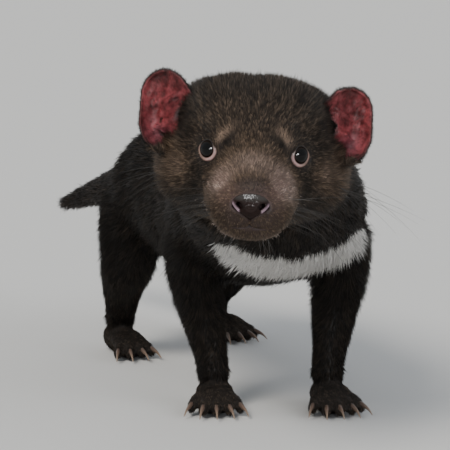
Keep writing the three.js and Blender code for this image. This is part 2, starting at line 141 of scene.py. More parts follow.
def showPiece(name, mesh, material, slot, *nodes):  # a visible piece, with the CAD nodes it stands for
    mesh.materials.append(material)
    piece = newObject(name, mesh)
    if nodes:
        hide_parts(*nodes)
    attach(piece, "root")
    return piece


def makeFiner(piece, levels):
    finer = piece.modifiers.new("finer", "SUBSURF")
    finer.levels = finer.render_levels = levels


def evaluated(made):  # the object's mesh with its modifiers in it
    graph = bpy.context.evaluated_depsgraph_get()
    return bpy.data.meshes.new_from_object(made.evaluated_get(graph))


def nodeMesh(node, grow=0):  # a copy of a CAD node, grown a little
    piece = bmesh.new()
    piece.from_mesh(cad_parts[node].data)
    bmesh.ops.remove_doubles(piece, verts=piece.verts, dist=1e-6)
    piece.normal_update()
    for v in piece.verts:
        v.co += v.normal * grow * mm
    mesh = bpy.data.meshes.new(node)
    piece.to_mesh(mesh)
    piece.free()
    return mesh


def joined(name, parts):  # one mesh that takes the place of its parts
    whole = bmesh.new()
    for part in parts:
        whole.from_mesh(part)
        bpy.data.meshes.remove(part)
    mesh = bpy.data.meshes.new(name)
    whole.to_mesh(mesh)
    whole.free()
    return mesh


def joinedNodes(name, nodes, grow=0):
    return joined(name, [nodeMesh(node, grow) for node in nodes])


def covered(name, nodes, grow, voxel):  # one closed surface over these CAD nodes, grown a little
    source = newObject(name, joinedNodes(name + "Source", nodes, grow))
    cover = source.modifiers.new("cover", "REMESH")
    cover.mode = "VOXEL"
    cover.voxel_size = voxel * mm
    cover.use_smooth_shade = True
    mesh = evaluated(source)
    mesh.name = name
    bpy.data.objects.remove(source)
    return mesh


def refine(mesh, chosen):  # the faces whose corners are all chosen are split in four
    work = bmesh.new()
    work.from_mesh(mesh)
    work.verts.ensure_lookup_table()
    edges = {e for f in work.faces if all(chosen[v.index] for v in f.verts) for e in f.edges}
    bmesh.ops.subdivide_edges(work, edges=list(edges), cuts=1, use_grid_fill=True)
    work.to_mesh(mesh)
    work.free()


def netOf(mesh):  # the ends of the mesh's edges, and how many edges meet at each place
    a, b = readAll(mesh.edges, "vertices", 2, np.int32).T
    count = len(mesh.vertices)
    degree = np.bincount(a, minlength=count) + np.bincount(b, minlength=count)
    return a, b, np.maximum(degree, 1)[:, None]


def averaged(net, values, rounds=1):  # each place takes the mean of its neighbours
    a, b, degree = net
    count = len(degree)
    for _ in range(rounds):
        total = [
            np.bincount(a, values[b, k], count) + np.bincount(b, values[a, k], count)
            for k in range(values.shape[1])
        ]
        values = np.stack(total, 1) / degree
    return values


def smoothed(net, points, rounds, share=1.0):  # evens out bumps and keeps the volume
    for _ in range(rounds):
        for pull in (0.5, -0.52):
            points = points + share * pull * (averaged(net, points) - points)
    return points


def attribute(mesh, name, values):
    kind = "FLOAT" if values.ndim == 1 else "FLOAT_VECTOR"
    layer = mesh.attributes.new(name, kind, "POINT")
    field = "value" if kind == "FLOAT" else "vector"
    layer.data.foreach_set(field, values.astype(np.float32).ravel())


def surfaceTree(mesh):
    return BVHTree.FromPolygons(pointsOf(mesh).tolist(), trianglesOf(mesh).tolist(), all_triangles=True)


def placeTree(places):
    tree = KDTree(len(places))
    for i, place in enumerate(places):
        tree.insert(place, i)
    tree.balance()
    return tree


# materials

def newMaterial(name):
    material = bpy.data.materials.new(name)
    material.use_nodes = True
    tree = material.node_tree
    return material, tree, tree.nodes["Principled BSDF"]


def give(tree, place, value):  # links another node's output to this input, or sets a plain value
    if isinstance(value, bpy.types.NodeSocket):
        tree.links.new(value, place)
    elif place.type == "RGBA":
        place.default_value = (*value, 1)
    else:
        place.default_value = value


def feed(tree, node, inputs):
    for name, value in inputs.items():
        give(tree, node.inputs[name], value)


def addNode(tree, kind, inputs=None, **settings):
    made = tree.nodes.new(kind)
    for key, value in settings.items():
        setattr(made, key, value)
    feed(tree, made, inputs or {})
    return made


def readField(tree, name, part="Fac"):
    return addNode(tree, "ShaderNodeAttribute", attribute_name=name).outputs[part]


def readParts(tree, name):  # the three numbers that a vector attribute carries
    return addNode(tree, "ShaderNodeSeparateXYZ", {0: readField(tree, name, "Vector")}).outputs


def calc(tree, operation, a, b):
    return addNode(tree, "ShaderNodeMath", {0: a, 1: b}, operation=operation).outputs[0]


def times(tree, a, b):
    return calc(tree, "MULTIPLY", a, b)


def power(tree, a, b):
    return calc(tree, "POWER", a, b)


def between(tree, value, low, high):  # 0 at low, 1 at high
    return addNode(tree, "ShaderNodeMapRange", {0: value, 1: low, 2: high}).outputs[0]


def ramp(tree, value, stops):
    made = addNode(tree, "ShaderNodeValToRGB", {"Fac": value})
    band = made.color_ramp
    while len(band.elements) < len(stops):
        band.elements.new(0.5)
    for element, (place, colour) in zip(band.elements, stops):
        element.position = place
        element.color = (*colour, 1)
    return made.outputs["Color"]


def blended(tree, factor, a, b, way="MIX"):
    made = addNode(tree, "ShaderNodeMix", data_type="RGBA", blend_type=way)
    for name, value in (("Factor_Float", factor), ("A_Color", a), ("B_Color", b)):
        give(tree, next(s for s in made.inputs if s.identifier == name), value)
    return next(s for s in made.outputs if s.identifier == "Result_Color")


def layered(tree, colour, *layers):  # each layer's colour laid over the rest by its share
    for share, over in layers:
        colour = blended(tree, share, colour, over)
    return colour


def noise(tree, place, scale, detail=3.0):
    inputs = {"Vector": place, "Scale": scale, "Detail": detail}
    return addNode(tree, "ShaderNodeTexNoise", inputs).outputs["Fac"]


def cells(tree, place, scale):
    return addNode(tree, "ShaderNodeTexVoronoi", {"Vector": place, "Scale": scale}).outputs["Distance"]


def objectPlace(tree):
    return addNode(tree, "ShaderNodeTexCoord").outputs["Object"]


def bumped(tree, height, strength, distance):
    inputs = {"Height": height, "Strength": strength, "Distance": distance}
    return addNode(tree, "ShaderNodeBump", inputs).outputs["Normal"]


# the head's own frame: x along the muzzle, y to the left, z to the crown

headPose = {"turn": -26, "nod": 2, "roll": -3.8, "eyesAt": (3.48, 0, -0.72)}
headAngles = [math.radians(headPose[k]) for k in ("roll", "nod", "turn")]
headTurn = np.array(Euler(headAngles, "XYZ").to_matrix())


def middleOf(node):
    low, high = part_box(node)
    return np.array((low + high) / 2) / mm


eyeMiddle = {side: middleOf(f"eye_{side}") for side in sides}
betweenEyes = (eyeMiddle["left"] + eyeMiddle["right"]) / 2
headOrigin = betweenEyes - headTurn @ np.array(headPose["eyesAt"])


def toHead(points):
    return (points - headOrigin) @ headTurn


def fromHead(points):
    return np.asarray(points, float) @ headTurn.T + headOrigin


def folded(head):  # both sides of the head laid on its left one
    return np.stack([head[:, 0], np.abs(head[:, 1]), head[:, 2]], 1)


headSpots = {  # middle and spread of places that lie on both sides of the head
    "dip": ((-16, 47, 12), (8, 4.5, 7)),  # the hollow before each ear
    "jaw": ((14, 23, -35), (12, 6, 6)),  # the jaw's lower corner, which the coat rounds off
    "patch": ((26, 14.8, -15), (8, 4.5, 5.5)),  # the thin-haired pink skin on the muzzle
}


def atSpot(head, name):
    return near(folded(head), *headSpots[name])


# the eyes' and the mouth's places in the skin

eyeShape = {"radius": 6.4, "out": 30, "up": 8, "wide": 3.7, "high": 4.5}
lidShape = {"thick": 0.4, "proud": 0.3, "rim": 1.75, "corner": 0.55, "top": -1.0, "around": 64, "rows": 9}
mouthShape = {
    "front": -33.5, "dip": 2.6, "corner": 4, "frontEnd": 40, "deep": 1.1, "half": 0.6, "middle": 4,
    "cleft": 1.2, "cleftHalf": 2.2,
}


def eyeFrame(side):  # the gaze, outward and upward ways of an eye
    angles = (0, -math.radians(eyeShape["up"]), math.radians(eyeShape["out"]) * sides[side])
    gaze = headTurn @ np.array(Euler(angles, "XYZ").to_matrix() @ Vector((1, 0, 0)))
    up = headTurn @ np.array((0, 0, 1.0))
    up = unit(up - gaze * (up @ gaze))
    return gaze, np.cross(up, gaze) * sides[side], up


def fromEyeAxis(points, side):  # the distance from the eye's axis, its outward and upward parts, the depth
    gaze, out, up = eyeFrame(side)
    away = points - eyeMiddle[side]
    x, y = away @ out, away @ up
    return np.hypot(x, y), x, y, away @ gaze


def lidEdges(c, s):  # the lids' opening and rim at each way round the eye's axis
    inner = ease(-c * 0.75 - s * 0.65, 0.35, 1)  # towards the corner by the muzzle
    # above thins the rim at the top, and the lids' material paints shade there
    above = ease(s, -0.1, 0.8)
    wide, high = eyeShape["wide"] + 0.5 * inner, eyeShape["high"]
    gap = wide * high / np.sqrt((high * c) ** 2 + (wide * s) ** 2)
    return gap, lidShape["rim"] + lidShape["corner"] * inner + lidShape["top"] * above, inner, above


def mouthHeight(x):  # the level of the mouth's line along the muzzle, from the corner to the front
    t = np.clip((x - mouthShape["corner"]) / (mouthShape["frontEnd"] - mouthShape["corner"]), 0, 1)
    sagged = mouthShape["dip"] * np.sin(np.pi * np.clip(t * 1.05, 0, 1))
    return mouthShape["front"] + 2.5 * (1 - t) ** 2 - sagged


def overMouth(head):  # the height over the mouth's line, which rises to the cleft
    x, y, z = head.T
    return z - mouthHeight(x) - mouthShape["cleft"] * bell(y, mouthShape["cleftHalf"])


# the kinds of coat, and what every place on the skin has to know

hairFields = ("length", "lift", "width", "tufts", "tone")
coatKinds = {  # hair length, its lift from the skin in degrees, root width, tufts per mm2, tone
    "crown": (7.0, 52, 0.46, 4.2, 0.37),
    "cheek": (7.5, 34, 0.46, 3.8, 0.74),
    "face": (3.0, 36, 0.34, 6.5, 0.5),
    "muzzle": (2.3, 30, 0.28, 8.0, 0.72),
    "neck": (11.0, 34, 0.62, 1.5, 0.12),
    "trunk": (12.0, 30, 0.68, 1.03, 0.12),
    "tail": (9.5, 28, 0.6, 1.5, 0.14),
    "thigh": (8.5, 28, 0.58, 1.6, 0.1),
    "shank": (4.5, 24, 0.42, 2.8, 0.22),
    "paw": (2.2, 20, 0.32, 4.5, 0.42),
}
kindNames = list(coatKinds)
headKinds = ("crown", "cheek", "face", "muzzle")


def byKind(share):
    return dict(zip(kindNames, share.T))


def kindShares(points, node, net):  # how far each place belongs to each kind of coat
    x, y, z = toHead(points).T
    name = np.array(solids)[node]
    front = ease(x, -16, 8)
    muzzle = ease(x, 9, 23)
    side = ease(ease(-z + 0.25 * np.abs(y), -2, 18) * (1 - front), 0, 1)
    low = 1 - ease(points[:, 2], 38, 68)
    isHead = np.isin(name, ["head", "jaw"] + plugs)
    isLeg = np.char.find(name, "leg_") > 0
    part = {
        "crown": isHead * (1 - front) * (1 - side),
        "cheek": isHead * (1 - front) * side,
        "face": isHead * front * (1 - muzzle),
        "muzzle": isHead * front * muzzle,
        "neck": name == "neck",
        "trunk": np.isin(name, ["chest", "belly", "rump"]),
        "tail": name == "tail",
        "thigh": isLeg * (1 - low),
        "shank": isLeg * low,
        "paw": np.isin(name, list(paws)),
    }
    share = averaged(net, np.stack([part[k] for k in kindNames], 1), 9)
    return share / share.sum(1, keepdims=True)


nosePad = {"middle": -22.4, "wide": 9.8, "high": 6.6, "foot": 0.25}


def onNose(head, wider):  # 1 on the nose's bare pad, 0 off it
    x, y, z = head.T
    low = ease(nosePad["middle"] - z, 0, nosePad["high"])
    half = (nosePad["wide"] + wider) * (1 - (1 - nosePad["foot"]) * low)
    across = np.hypot(y / half, (z - nosePad["middle"]) / (nosePad["high"] + wider))
    return (1 - ease(across, 0.95, 1.1)) * ease(x, 30, 33)


def hairSizes(points, share):  # length, lift, width and density of the hair at each place
    head = toHead(points)
    x, y, z = head.T
    length, lift, width, tufts = (share @ np.array(list(coatKinds.values()))[:, :4]).T
    for side in sides:  # shorter round the eye, none on its rim
        off, right, up, depth = fromEyeAxis(points, side)
        length = length * (1 - 0.62 * (1 - ease(off, 6, 16)) * (depth > -8))
        gap, rim, _, _ = lidEdges(right / np.maximum(off, 0.1), up / np.maximum(off, 0.1))
        tufts = tufts * (1 - (off < gap + 0.45 * rim) * (depth > -6))
    noseAway = np.hypot(y, z - nosePad["middle"]) + np.clip(34 - x, 0, 99)
    length = length * (0.5 + 0.5 * ease(noseAway, 9, 22))
    length = length * (1 - 0.4 * atSpot(head, "dip"))
    lip = np.abs(z - mouthHeight(x)) + 9 * (np.abs(y) > 4)
    sole = byKind(share)["paw"] * (points[:, 2] < 1.2)
    tufts = tufts * (1 - (onNose(head, 0.1) > 0.3))
    tufts = tufts * (1 - 0.9 * (lip < 0.5) * (x > 30))
    tufts = tufts * (1 - 0.4 * atSpot(head, "patch"))
    return length, lift, width, tufts * (1 - sole)


def coatDepth(points, share):  # how far the coat's tips stand over its skin
    length, lift, _, _ = hairSizes(points, share)
    return 0.8 * length * np.sin(np.radians(lift))


def lieOf(points, normals, node, share):  # the way the hairs lie: back from the nose, down the legs
    part = dict(zip(kindNames, share.T[:, :, None]))
    fromNose = unit(toHead(points) - np.array([46, 0, -16.0])) + np.array([-0.25, 0, -0.12])
    way = (headTurn @ fromNose.T).T * sum(part[k] for k in headKinds)
    aside = np.clip(np.abs(normals[:, [1]]), 0, 1)
    lies = {
        "neck": (-1, -0.1, -0.25), "trunk": np.array([-1, 0, -0.12]) + aside * np.array([0, 0, -0.75]),
        "tail": (-1, -0.1, -0.32), "thigh": (-0.45, 0, -1), "shank": (-0.2, 0, -1),
    }
    for kind, lie in lies.items():
        way = way + np.array(lie) * part[kind]
    for paw in paws:  # along the toes
        claws = [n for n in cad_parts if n.startswith(paw + "_claw")]
        ahead = unit(np.mean([middleOf(n) for n in claws], 0) - middleOf(paw))
        way = way + (ahead + np.array([0, 0, -0.25])) * part["paw"] * (node == solids.index(paw))[:, None]
    for side in sides:  # away from the eyes
        off, right, up, depth = (v[:, None] for v in fromEyeAxis(points, side))
        _, rightWay, upWay = eyeFrame(side)
        beside = (1 - ease(off, 7, 14)) * (depth > -6)
        way = way + beside * 1.6 * (right * rightWay + up * upWay) / np.maximum(off, 1)
    return laidFlat(way, normals)


markShape = {  # the white bar in the shoulders' frame, and the pale brows in the head's
    "shoulders": (94.6, 14.8), "turn": -20, "middle": 13, "level": 90, "rise": 0.0075, "half": 9,
    "reach": 46, "ahead": 8, "ragged": 0.5, "soft": 0.8,
    "browAt": (16, 7), "browWay": (-0.75, 0.66), "brow": (4.2, 1.7), "streak": -3.4, "front": -10,
    "dark": [(1, (-18, 42, 20), (9, 8, 14)), (0.55, (-2, 36, 8), (6, 5, 10))],  # painted shade in the gap before each ear
}


def markings(points):  # how white, how pale and how dark the coat is at each place; the dark is the streak under each brow and painted shade before each ear
    mark = markShape
    turn = math.radians(mark["turn"])
    away = points[:, :2] - np.array(mark["shoulders"])
    ahead = away @ np.array([math.cos(turn), math.sin(turn)])
    across = away @ np.array([-math.sin(turn), math.cos(turn)]) - mark["middle"]
    level = mark["level"] + mark["rise"] * across**2
    edge = mark["half"] * np.sqrt(np.clip(1 - (np.abs(across) / mark["reach"]) ** 4, 0, 1))
    off = np.abs(points[:, 2] - level) + mark["ragged"] * ripple(points, 9, 3)
    white = (1 - ease(off, edge - mark["soft"], edge + mark["soft"])) * (ahead > mark["ahead"]) * (edge > 0)

    head = folded(toHead(points))
    c, s = mark["browWay"]
    beside = head[:, 1:] - np.array(mark["browAt"])
    brow = np.stack([beside @ np.array([c, s]), beside @ np.array([s, -c])], 1)
    isFront = head[:, 0] > mark["front"]
    pale = near(brow, (0, 0), mark["brow"]) * isFront
    dark = near(brow, (0, mark["streak"]), mark["brow"]) * isFront
    # painted shade where each ear meets the crown
    for amount, middle, spread in mark["dark"]:
        dark = np.maximum(dark, amount * near(head, middle, spread))
    return np.stack([white, np.clip(pale * 1.2, 0, 1), np.clip(dark, 0, 1)], 1)


toneSpots = [  # how much paler or darker, middle and spread, on both sides of the head
    (0.32, (18, 0, -6), (8, 8, 6)),  # the muzzle's bridge
    (-0.25, (34, 0, -14), (6, 6, 4)),  # over the nose
    (0.36, (0, 36, -12), (9, 7, 8)),  # the cheeks
]


def tones(points, share):  # 0 on the black body, 1 on the pale sides of the muzzle
    part = byKind(share)
    muzzle = part["muzzle"]
    head = toHead(points)
    both = folded(head)
    behind = 1 - 0.55 * (1 - ease(head[:, 0], -52, -24))  # the head darkens towards the neck
    tone = sum(coatKinds[k][4] * part[k] * (behind if k in ("crown", "cheek") else 1) for k in kindNames)
    # the patch is paler on the head's left side than on its right: painted light
    tone += (0.4 + 0.3 * (head[:, 1] > 0)) * atSpot(head, "patch") * (muzzle + part["face"])
    for amount, middle, spread in toneSpots:
        tone += amount * near(both, middle, spread)
    tone += 0.25 * near(both, (24, 13, -38), (8, 7, 4)) * muzzle  # the chin's sides
    tone -= 0.22 * near(both, (8, 27, -18), (9, 5, 10)) * (1 - muzzle)  # behind the muzzle
    jowl = (1 - ease(head[:, 2], -38, -16)) * ease(both[:, 1], 18, 30)
    return np.clip(tone * (1 - 0.72 * jowl * (part["cheek"] + part["face"])), 0, 1)


# the skin: one closed surface under the whole coat

skinShape = {
    "voxel": 2.0, "overlap": 0.3, "evening": {"body": 30, "head": 7, "feet": 2}, "dip": 4.5, "jaw": 5,
    "finer": (-10, 12), "finerHalf": 45, "finerLow": -48, "byEye": 12, "nose": 2.6, "eye": 0.9,
}
pawShape = {
    "voxel": 0.9, "overlap": 0.35, "top": 27, "tuck": 1.4, "rounds": 2, "wrist": 14, "under": 1.3,
    "crease": (9, 13, 20, 25), "shank": (9, 21),
}
socketShape = {"floor": 2.4, "edge": 4.5, "from": 3.9, "to": 5.0, "reach": 13, "rise": 4.5}


def buildSkin():
    mesh = covered("skin", solids, skinShape["overlap"], skinShape["voxel"])
    for start in skinShape["finer"]:  # the face is split once, the muzzle and the eyes twice
        points = pointsOf(mesh)
        x, y, z = toHead(points).T
        byEye = np.minimum(*(fromEyeAxis(points, side)[0] for side in sides)) < skinShape["byEye"]
        isFace = (np.abs(y) < skinShape["finerHalf"]) & (z > skinShape["finerLow"])
        refine(mesh, ((x > start) | (byEye & (x > -8))) & isFace)
    points = pointsOf(mesh)
    net = netOf(mesh)

    counts = [len(trianglesOf(nodeMesh(n))) for n in solids]
    owner = np.repeat(np.arange(len(counts)), counts)
    tree = surfaceTree(joinedNodes("cad", solids))
    node = np.array([owner[tree.find_nearest(Vector(p))[2]] for p in points])
    share = kindShares(points, node, net)

    part = byKind(share)
    headShare = sum(part[k] for k in headKinds)
    bodyShare = np.clip(1 - headShare - part["paw"], 0, 1)
    for name, amount in (("body", bodyShare), ("head", headShare), ("feet", part["paw"])):
        points = smoothed(net, points, skinShape["evening"][name], amount[:, None])
    setPoints(mesh, points)
    return mesh, net, node, share


def isNode(*names):  # the skin's places that stand for these nodes
    return np.isin(skinNode, [solids.index(n) for n in names])


def sinkSockets(points, net):  # the skin drawn back behind the eyeballs and their lids
    socket = socketShape
    for side in sides:
        gaze, _, _ = eyeFrame(side)
        for _ in range(3):
            off, _, _, depth = fromEyeAxis(points, side)
            wall = ease(off, socket["from"], socket["to"])
            level = socket["floor"] + (socket["edge"] - socket["floor"]) * wall
            level = level + socket["rise"] * ease(off, socket["to"], socket["reach"])
            inside = (off < socket["reach"]) & (depth > -2)
            points = points + np.where(inside, np.minimum(level - depth, 0), 0)[:, None] * gaze
            points = smoothed(net, points, 3, (inside * 0.8)[:, None])
    return points


def finishSkin():
    points = pointsOf(skinMesh)
    head = toHead(points)
    isLimb = isNode(*paws, *paws.values())
    under = 1 - ease(points[:, 2], pawShape["top"] - 9, pawShape["top"])
    plugDepth = np.where(onNose(head, 0) > 0.5, skinShape["nose"], skinShape["eye"])
    depth = np.where(isNode(*plugs), plugDepth, coatDepth(points, skinKind))
    depth = depth + pawShape["under"] * isLimb * under
    depth = depth + skinShape["dip"] * atSpot(head, "dip") + skinShape["jaw"] * atSpot(head, "jaw")
    points = points - normalsOf(skinMesh) * averaged(skinNet, depth[:, None], 4)
    points[:, 2] = np.where(isLimb, np.maximum(points[:, 2], pawShape["under"]), points[:, 2])
    points = sinkSockets(smoothed(skinNet, points, 2), skinNet)
    setPoints(skinMesh, points)

    head = toHead(points)
    x, y, z = head.T
    isFront = ease(x, mouthShape["corner"] - 2, mouthShape["corner"] + 6) * (np.abs(y) < 30)
    groove = mouthShape["deep"] * (0.45 + 0.55 * bell(y, mouthShape["middle"]))
    groove = groove * bell(overMouth(head), mouthShape["half"]) * isFront
    cleft = 0.9 * bell(y, 0.6) * ease(x, 33, 37) * ease(z, -34, -32) * (1 - ease(z, -28, -26))
    setPoints(skinMesh, points - normalsOf(skinMesh) * (groove + cleft)[:, None])


skinMesh, skinNet, skinNode, skinKind = buildSkin()
print("skin covered", len(skinMesh.vertices), "places")
finishSkin()


def surfaceOf(mesh, net, node, share):  # what a coat needs to know of its skin
    points, normals = pointsOf(mesh), normalsOf(mesh)
    lie = lieOf(points, normals, node, share)
    for _ in range(4):
        lie = laidFlat(averaged(net, lie), normals)
    surface = dict(zip(hairFields, (*hairSizes(points, share), tones(points, share))))
    return surface | {"points": points, "normals": normals, "triangles": trianglesOf(mesh), "lie": lie}


skinSurface = surfaceOf(skinMesh, skinNet, skinNode, skinKind)
skinTree = surfaceTree(skinMesh)
print("skin shaped,", len(skinSurface["triangles"]), "triangles")


# the paws' own skin, finer than the rest, from the wrist or ankle down

def buildPaw(paw):
    mesh = covered("hide_" + paw, [paw, paws[paw]], pawShape["overlap"], pawShape["voxel"])
    work = bmesh.new()
    work.from_mesh(mesh)
    everything = work.verts[:] + work.edges[:] + work.faces[:]
    plane = {"plane_co": (0, 0, pawShape["top"] * mm), "plane_no": (0, 0, 1), "clear_outer": True}
    bmesh.ops.bisect_plane(work, geom=everything, **plane)
    work.to_mesh(mesh)
    work.free()
    net = netOf(mesh)
    points = pointsOf(mesh)
    low, lowFull, highFull, high = pawShape["crease"]
    crease = (ease(points[:, 2], low, lowFull) * (1 - ease(points[:, 2], highFull, high)))[:, None]
    for _ in range(pawShape["wrist"]):  # fills the crease above the paw
        points = points + 0.5 * crease * (averaged(net, points) - points)
    points = smoothed(net, points, pawShape["rounds"])
    setPoints(mesh, points)
    share = np.zeros((len(points), len(kindNames)))
    up = ease(points[:, 2], *pawShape["shank"])
    share[:, kindNames.index("paw")] = 1 - up
    share[:, kindNames.index("shank")] = up
    depth = coatDepth(points, share)
    depth += pawShape["tuck"] * ease(points[:, 2], pawShape["top"] - 4, pawShape["top"])
    points = points - normalsOf(mesh) * depth[:, None]
    points[:, 2] = np.maximum(points[:, 2], 0.2)
    setPoints(mesh, points)
    node = np.full(len(points), solids.index(paw))
    return mesh, surfaceOf(mesh, net, node, share)


# the coat's and the skin's materials

coatColours = {
    "root": (0.006, 0.0045, 0.0037),
    "tips": [
        (0.0, (0.035, 0.026, 0.021)), (0.4, (0.31, 0.23, 0.165)), (0.75, (0.62, 0.43, 0.29)),
        (1, (0.95, 0.7, 0.57)),
    ],
    # dark serves the streak under each brow and the painted shade before each ear
    "white": (0.88, 0.86, 0.83), "pale": (0.5, 0.36, 0.27), "dark": (0.01, 0.008, 0.007),
}
skinColours = {
    "under": (0.02, 0.0155, 0.013), "muzzle": (0.2, 0.11, 0.09), "white": (0.5, 0.47, 0.45),
    "lips": (0.035, 0.016, 0.016), "pink": (0.3, 0.16, 0.16), "pads": (0.03, 0.024, 0.023),
}


def dimmed(colour, share):
    return tuple(c * share for c in colour)


def coatMaterial():
    material, tree, shader = newMaterial("fur")
    colours = coatColours
    alongHair, luck, tone = readParts(tree, "hair")
    white, pale, dark = readParts(tree, "mark")
    share = times(tree, power(tree, alongHair, 1.2), power(tree, luck, 3.2))
    share = calc(tree, "ADD", share, times(tree, power(tree, tone, 3.0), 0.2))
    paleShare = times(tree, times(tree, pale, alongHair), 0.75)
    whiteShare = calc(tree, "MINIMUM", times(tree, white, calc(tree, "ADD", alongHair, 0.65)), 1.0)
    whiteHair = blended(tree, luck, dimmed(colours["white"], 0.9), colours["white"])
    # the dark mark lays the brow streaks and the painted shade before each ear over the hair
    colour = layered(
        tree, colours["root"], (share, ramp(tree, tone, colours["tips"])), (paleShare, colours["pale"]),
        (dark, colours["dark"]), (whiteShare, whiteHair),
    )
    feed(tree, shader, {"Base Color": colour, "Roughness": 0.55, "Specular IOR Level": 0.2})
    return material


def skinMaterial():
    material, tree, shader = newMaterial("hide")
    colours = skinColours
    place = objectPlace(tree)
    muzzle, lips, pads = readParts(tree, "bare")
    flushed = layered(
        tree, dimmed(colours["muzzle"], 0.5), (noise(tree, place, 90), colours["muzzle"]),
        (times(tree, noise(tree, place, 900), 0.3), colours["pink"]),
    )
    colour = layered(
        tree, colours["under"], (muzzle, flushed), (readParts(tree, "mark")[0], colours["white"]),
        (lips, colours["lips"]), (pads, colours["pads"]),
    )
    grain = bumped(tree, cells(tree, place, 700.0), 0.35, 0.0004)
    feed(tree, shader, {"Base Color": colour, "Normal": grain, "Roughness": 0.6, "Specular IOR Level": 0.2})
    return material


def bareParts(points):  # the pink muzzle, the lips and the soles
    head = toHead(points)
    x, y, z = head.T
    muzzle = 0.2 * ease(x, 14, 28) + 0.8 * atSpot(head, "patch")
    lips = bell(np.abs(overMouth(head)), 0.8) * (0.35 + 0.65 * bell(y, mouthShape["middle"]))
    lips = np.maximum(lips * ease(x, 20, 30), near(head, (37, 0, -30.5), (5, 0.8, 1.6)) * (x > 30))
    lips = np.maximum(lips, onNose(head, -0.5))
    pads = 1 - ease(points[:, 2], 1.5, 3.5)
    return np.stack([muzzle, np.clip(lips, 0, 1), pads], 1)


hide = skinMaterial()
fur = coatMaterial()


def showSkin(name, mesh, points, slot, nodes):
    attribute(mesh, "bare", bareParts(points))
    attribute(mesh, "mark", markings(points))
    showPiece(name, mesh, hide, slot, *nodes)


showSkin("skin", skinMesh, skinSurface["points"], "coat", [n for n in flesh if n not in paws])
pawSurfaces = {}
for paw in paws:
    pawMesh, pawSurfaces[paw] = buildPaw(paw)
    showSkin("hide_" + paw, pawMesh, pawSurfaces[paw]["points"], "paw_coat", [paw])
print("paws shaped,", sum(len(each["triangles"]) for each in pawSurfaces.values()), "triangles")


# the coat: thin tapered tufts, each with its root sunk in the skin

coatShape = {
    "patch": 0.003, "sunk": 0.35, "stray": 13, "wander": 16, "clump": 0.45, "perClump": 4, "floor": 0.3,
}
tuftShapes = {  # bent or not: faces, their sizes, each place's height, each face corner's unwrap column
    True: (
        [1, 2, 5, 4, 2, 0, 3, 5, 0, 1, 4, 3, 4, 5, 6, 5, 3, 6, 3, 4, 6],
        [4, 4, 4, 3, 3, 3],
        [0, 0, 0, 0.5, 0.5, 0.5, 1],
        [0, 1, 1, 0, 1, 2, 2, 1, 2, 3, 3, 2, 0, 1, 0.5, 1, 2, 1.5, 2, 3, 2.5],
    ),
    False: ([1, 2, 3, 2, 0, 3, 0, 1, 3], [3, 3, 3], [0, 0, 0, 1], [0, 1, 0.5, 1, 2, 1.5, 2, 3, 2.5]),
}


def tuftMesh(name, points, corners, sizes):
    mesh = bpy.data.meshes.new(name)
    mesh.vertices.add(len(points))
    mesh.vertices.foreach_set("co", (points * mm).astype(np.float32).ravel())
    mesh.loops.add(len(corners))
    mesh.loops.foreach_set("vertex_index", corners.astype(np.int32))
    mesh.polygons.add(len(sizes))
    mesh.polygons.foreach_set("loop_start", np.concatenate([[0], np.cumsum(sizes)[:-1]]).astype(np.int32))
    mesh.update(calc_edges=True)
    mesh.shade_smooth()
    return mesh


def sprinkled(points, triangles, density, draw):  # root places spread evenly: a triangle and a place in it
    a, b, c = (points[triangles[:, k]] for k in range(3))
    area = np.linalg.norm(np.cross(b - a, c - a), axis=1) / 2
    wanted = np.cumsum(area * density[triangles].mean(1))
    marks = np.arange(int(wanted[-1])) + draw.uniform(0, 1, int(wanted[-1]))
    triangle = np.minimum(np.searchsorted(wanted, marks), len(triangles) - 1)
    u, v = draw.uniform(0, 1, (2, len(marks)))
    over = u + v > 1
    u[over], v[over] = 1 - u[over], 1 - v[over]
    return triangle, np.stack([1 - u - v, u, v], 1)


def unwrapped(points, triangles):  # an unwrap of these triangles, as three places for each
    used, compact = np.unique(triangles, return_inverse=True)
    mesh = newMesh("patch", points[used], compact.reshape(-1, 3).tolist())
    patch = newObject("patch", mesh)
    bpy.context.view_layer.objects.active = patch
    patch.select_set(True)
    bpy.ops.object.mode_set(mode="EDIT")
    bpy.ops.mesh.select_all(action="SELECT")
    bpy.ops.uv.smart_project(angle_limit=math.radians(70), island_margin=0.003)
    bpy.ops.object.mode_set(mode="OBJECT")
    flat = readAll(mesh.uv_layers.active.data, "uv", 2)
    bpy.data.objects.remove(patch)
    bpy.data.meshes.remove(mesh)
    return flat.reshape(-1, 3, 2).astype(float)


def turned(ways, towards, angles):
    return ways * np.cos(angles)[:, None] + towards * np.sin(angles)[:, None]


def tuftLine(roots, normals, ways, length, lift, bent):  # a tuft's start, middle and tip, and its way
    first = turned(ways, normals, lift)
    second = turned(ways, normals, lift * 0.45) if bent else first
    start = roots - normals * coatShape["sunk"]
    half = (length[:, None] + coatShape["sunk"]) / 2
    middle = start + first * half
    return start, middle, middle + second * half, first


def clumped(roots, tips, draw):  # draws the tips of neighbouring tufts together
    centres = draw.choice(len(roots), max(1, len(roots) // coatShape["perClump"]), replace=False)
    tree = placeTree(roots[centres])
    own = centres[np.array([tree.find(p)[1] for p in roots])]
    target = tips[own] + 0.25 * (roots - roots[own])
    share = coatShape["clump"] * draw.uniform(0.4, 1, len(roots))[:, None]
    return tips + share * (target - tips), own


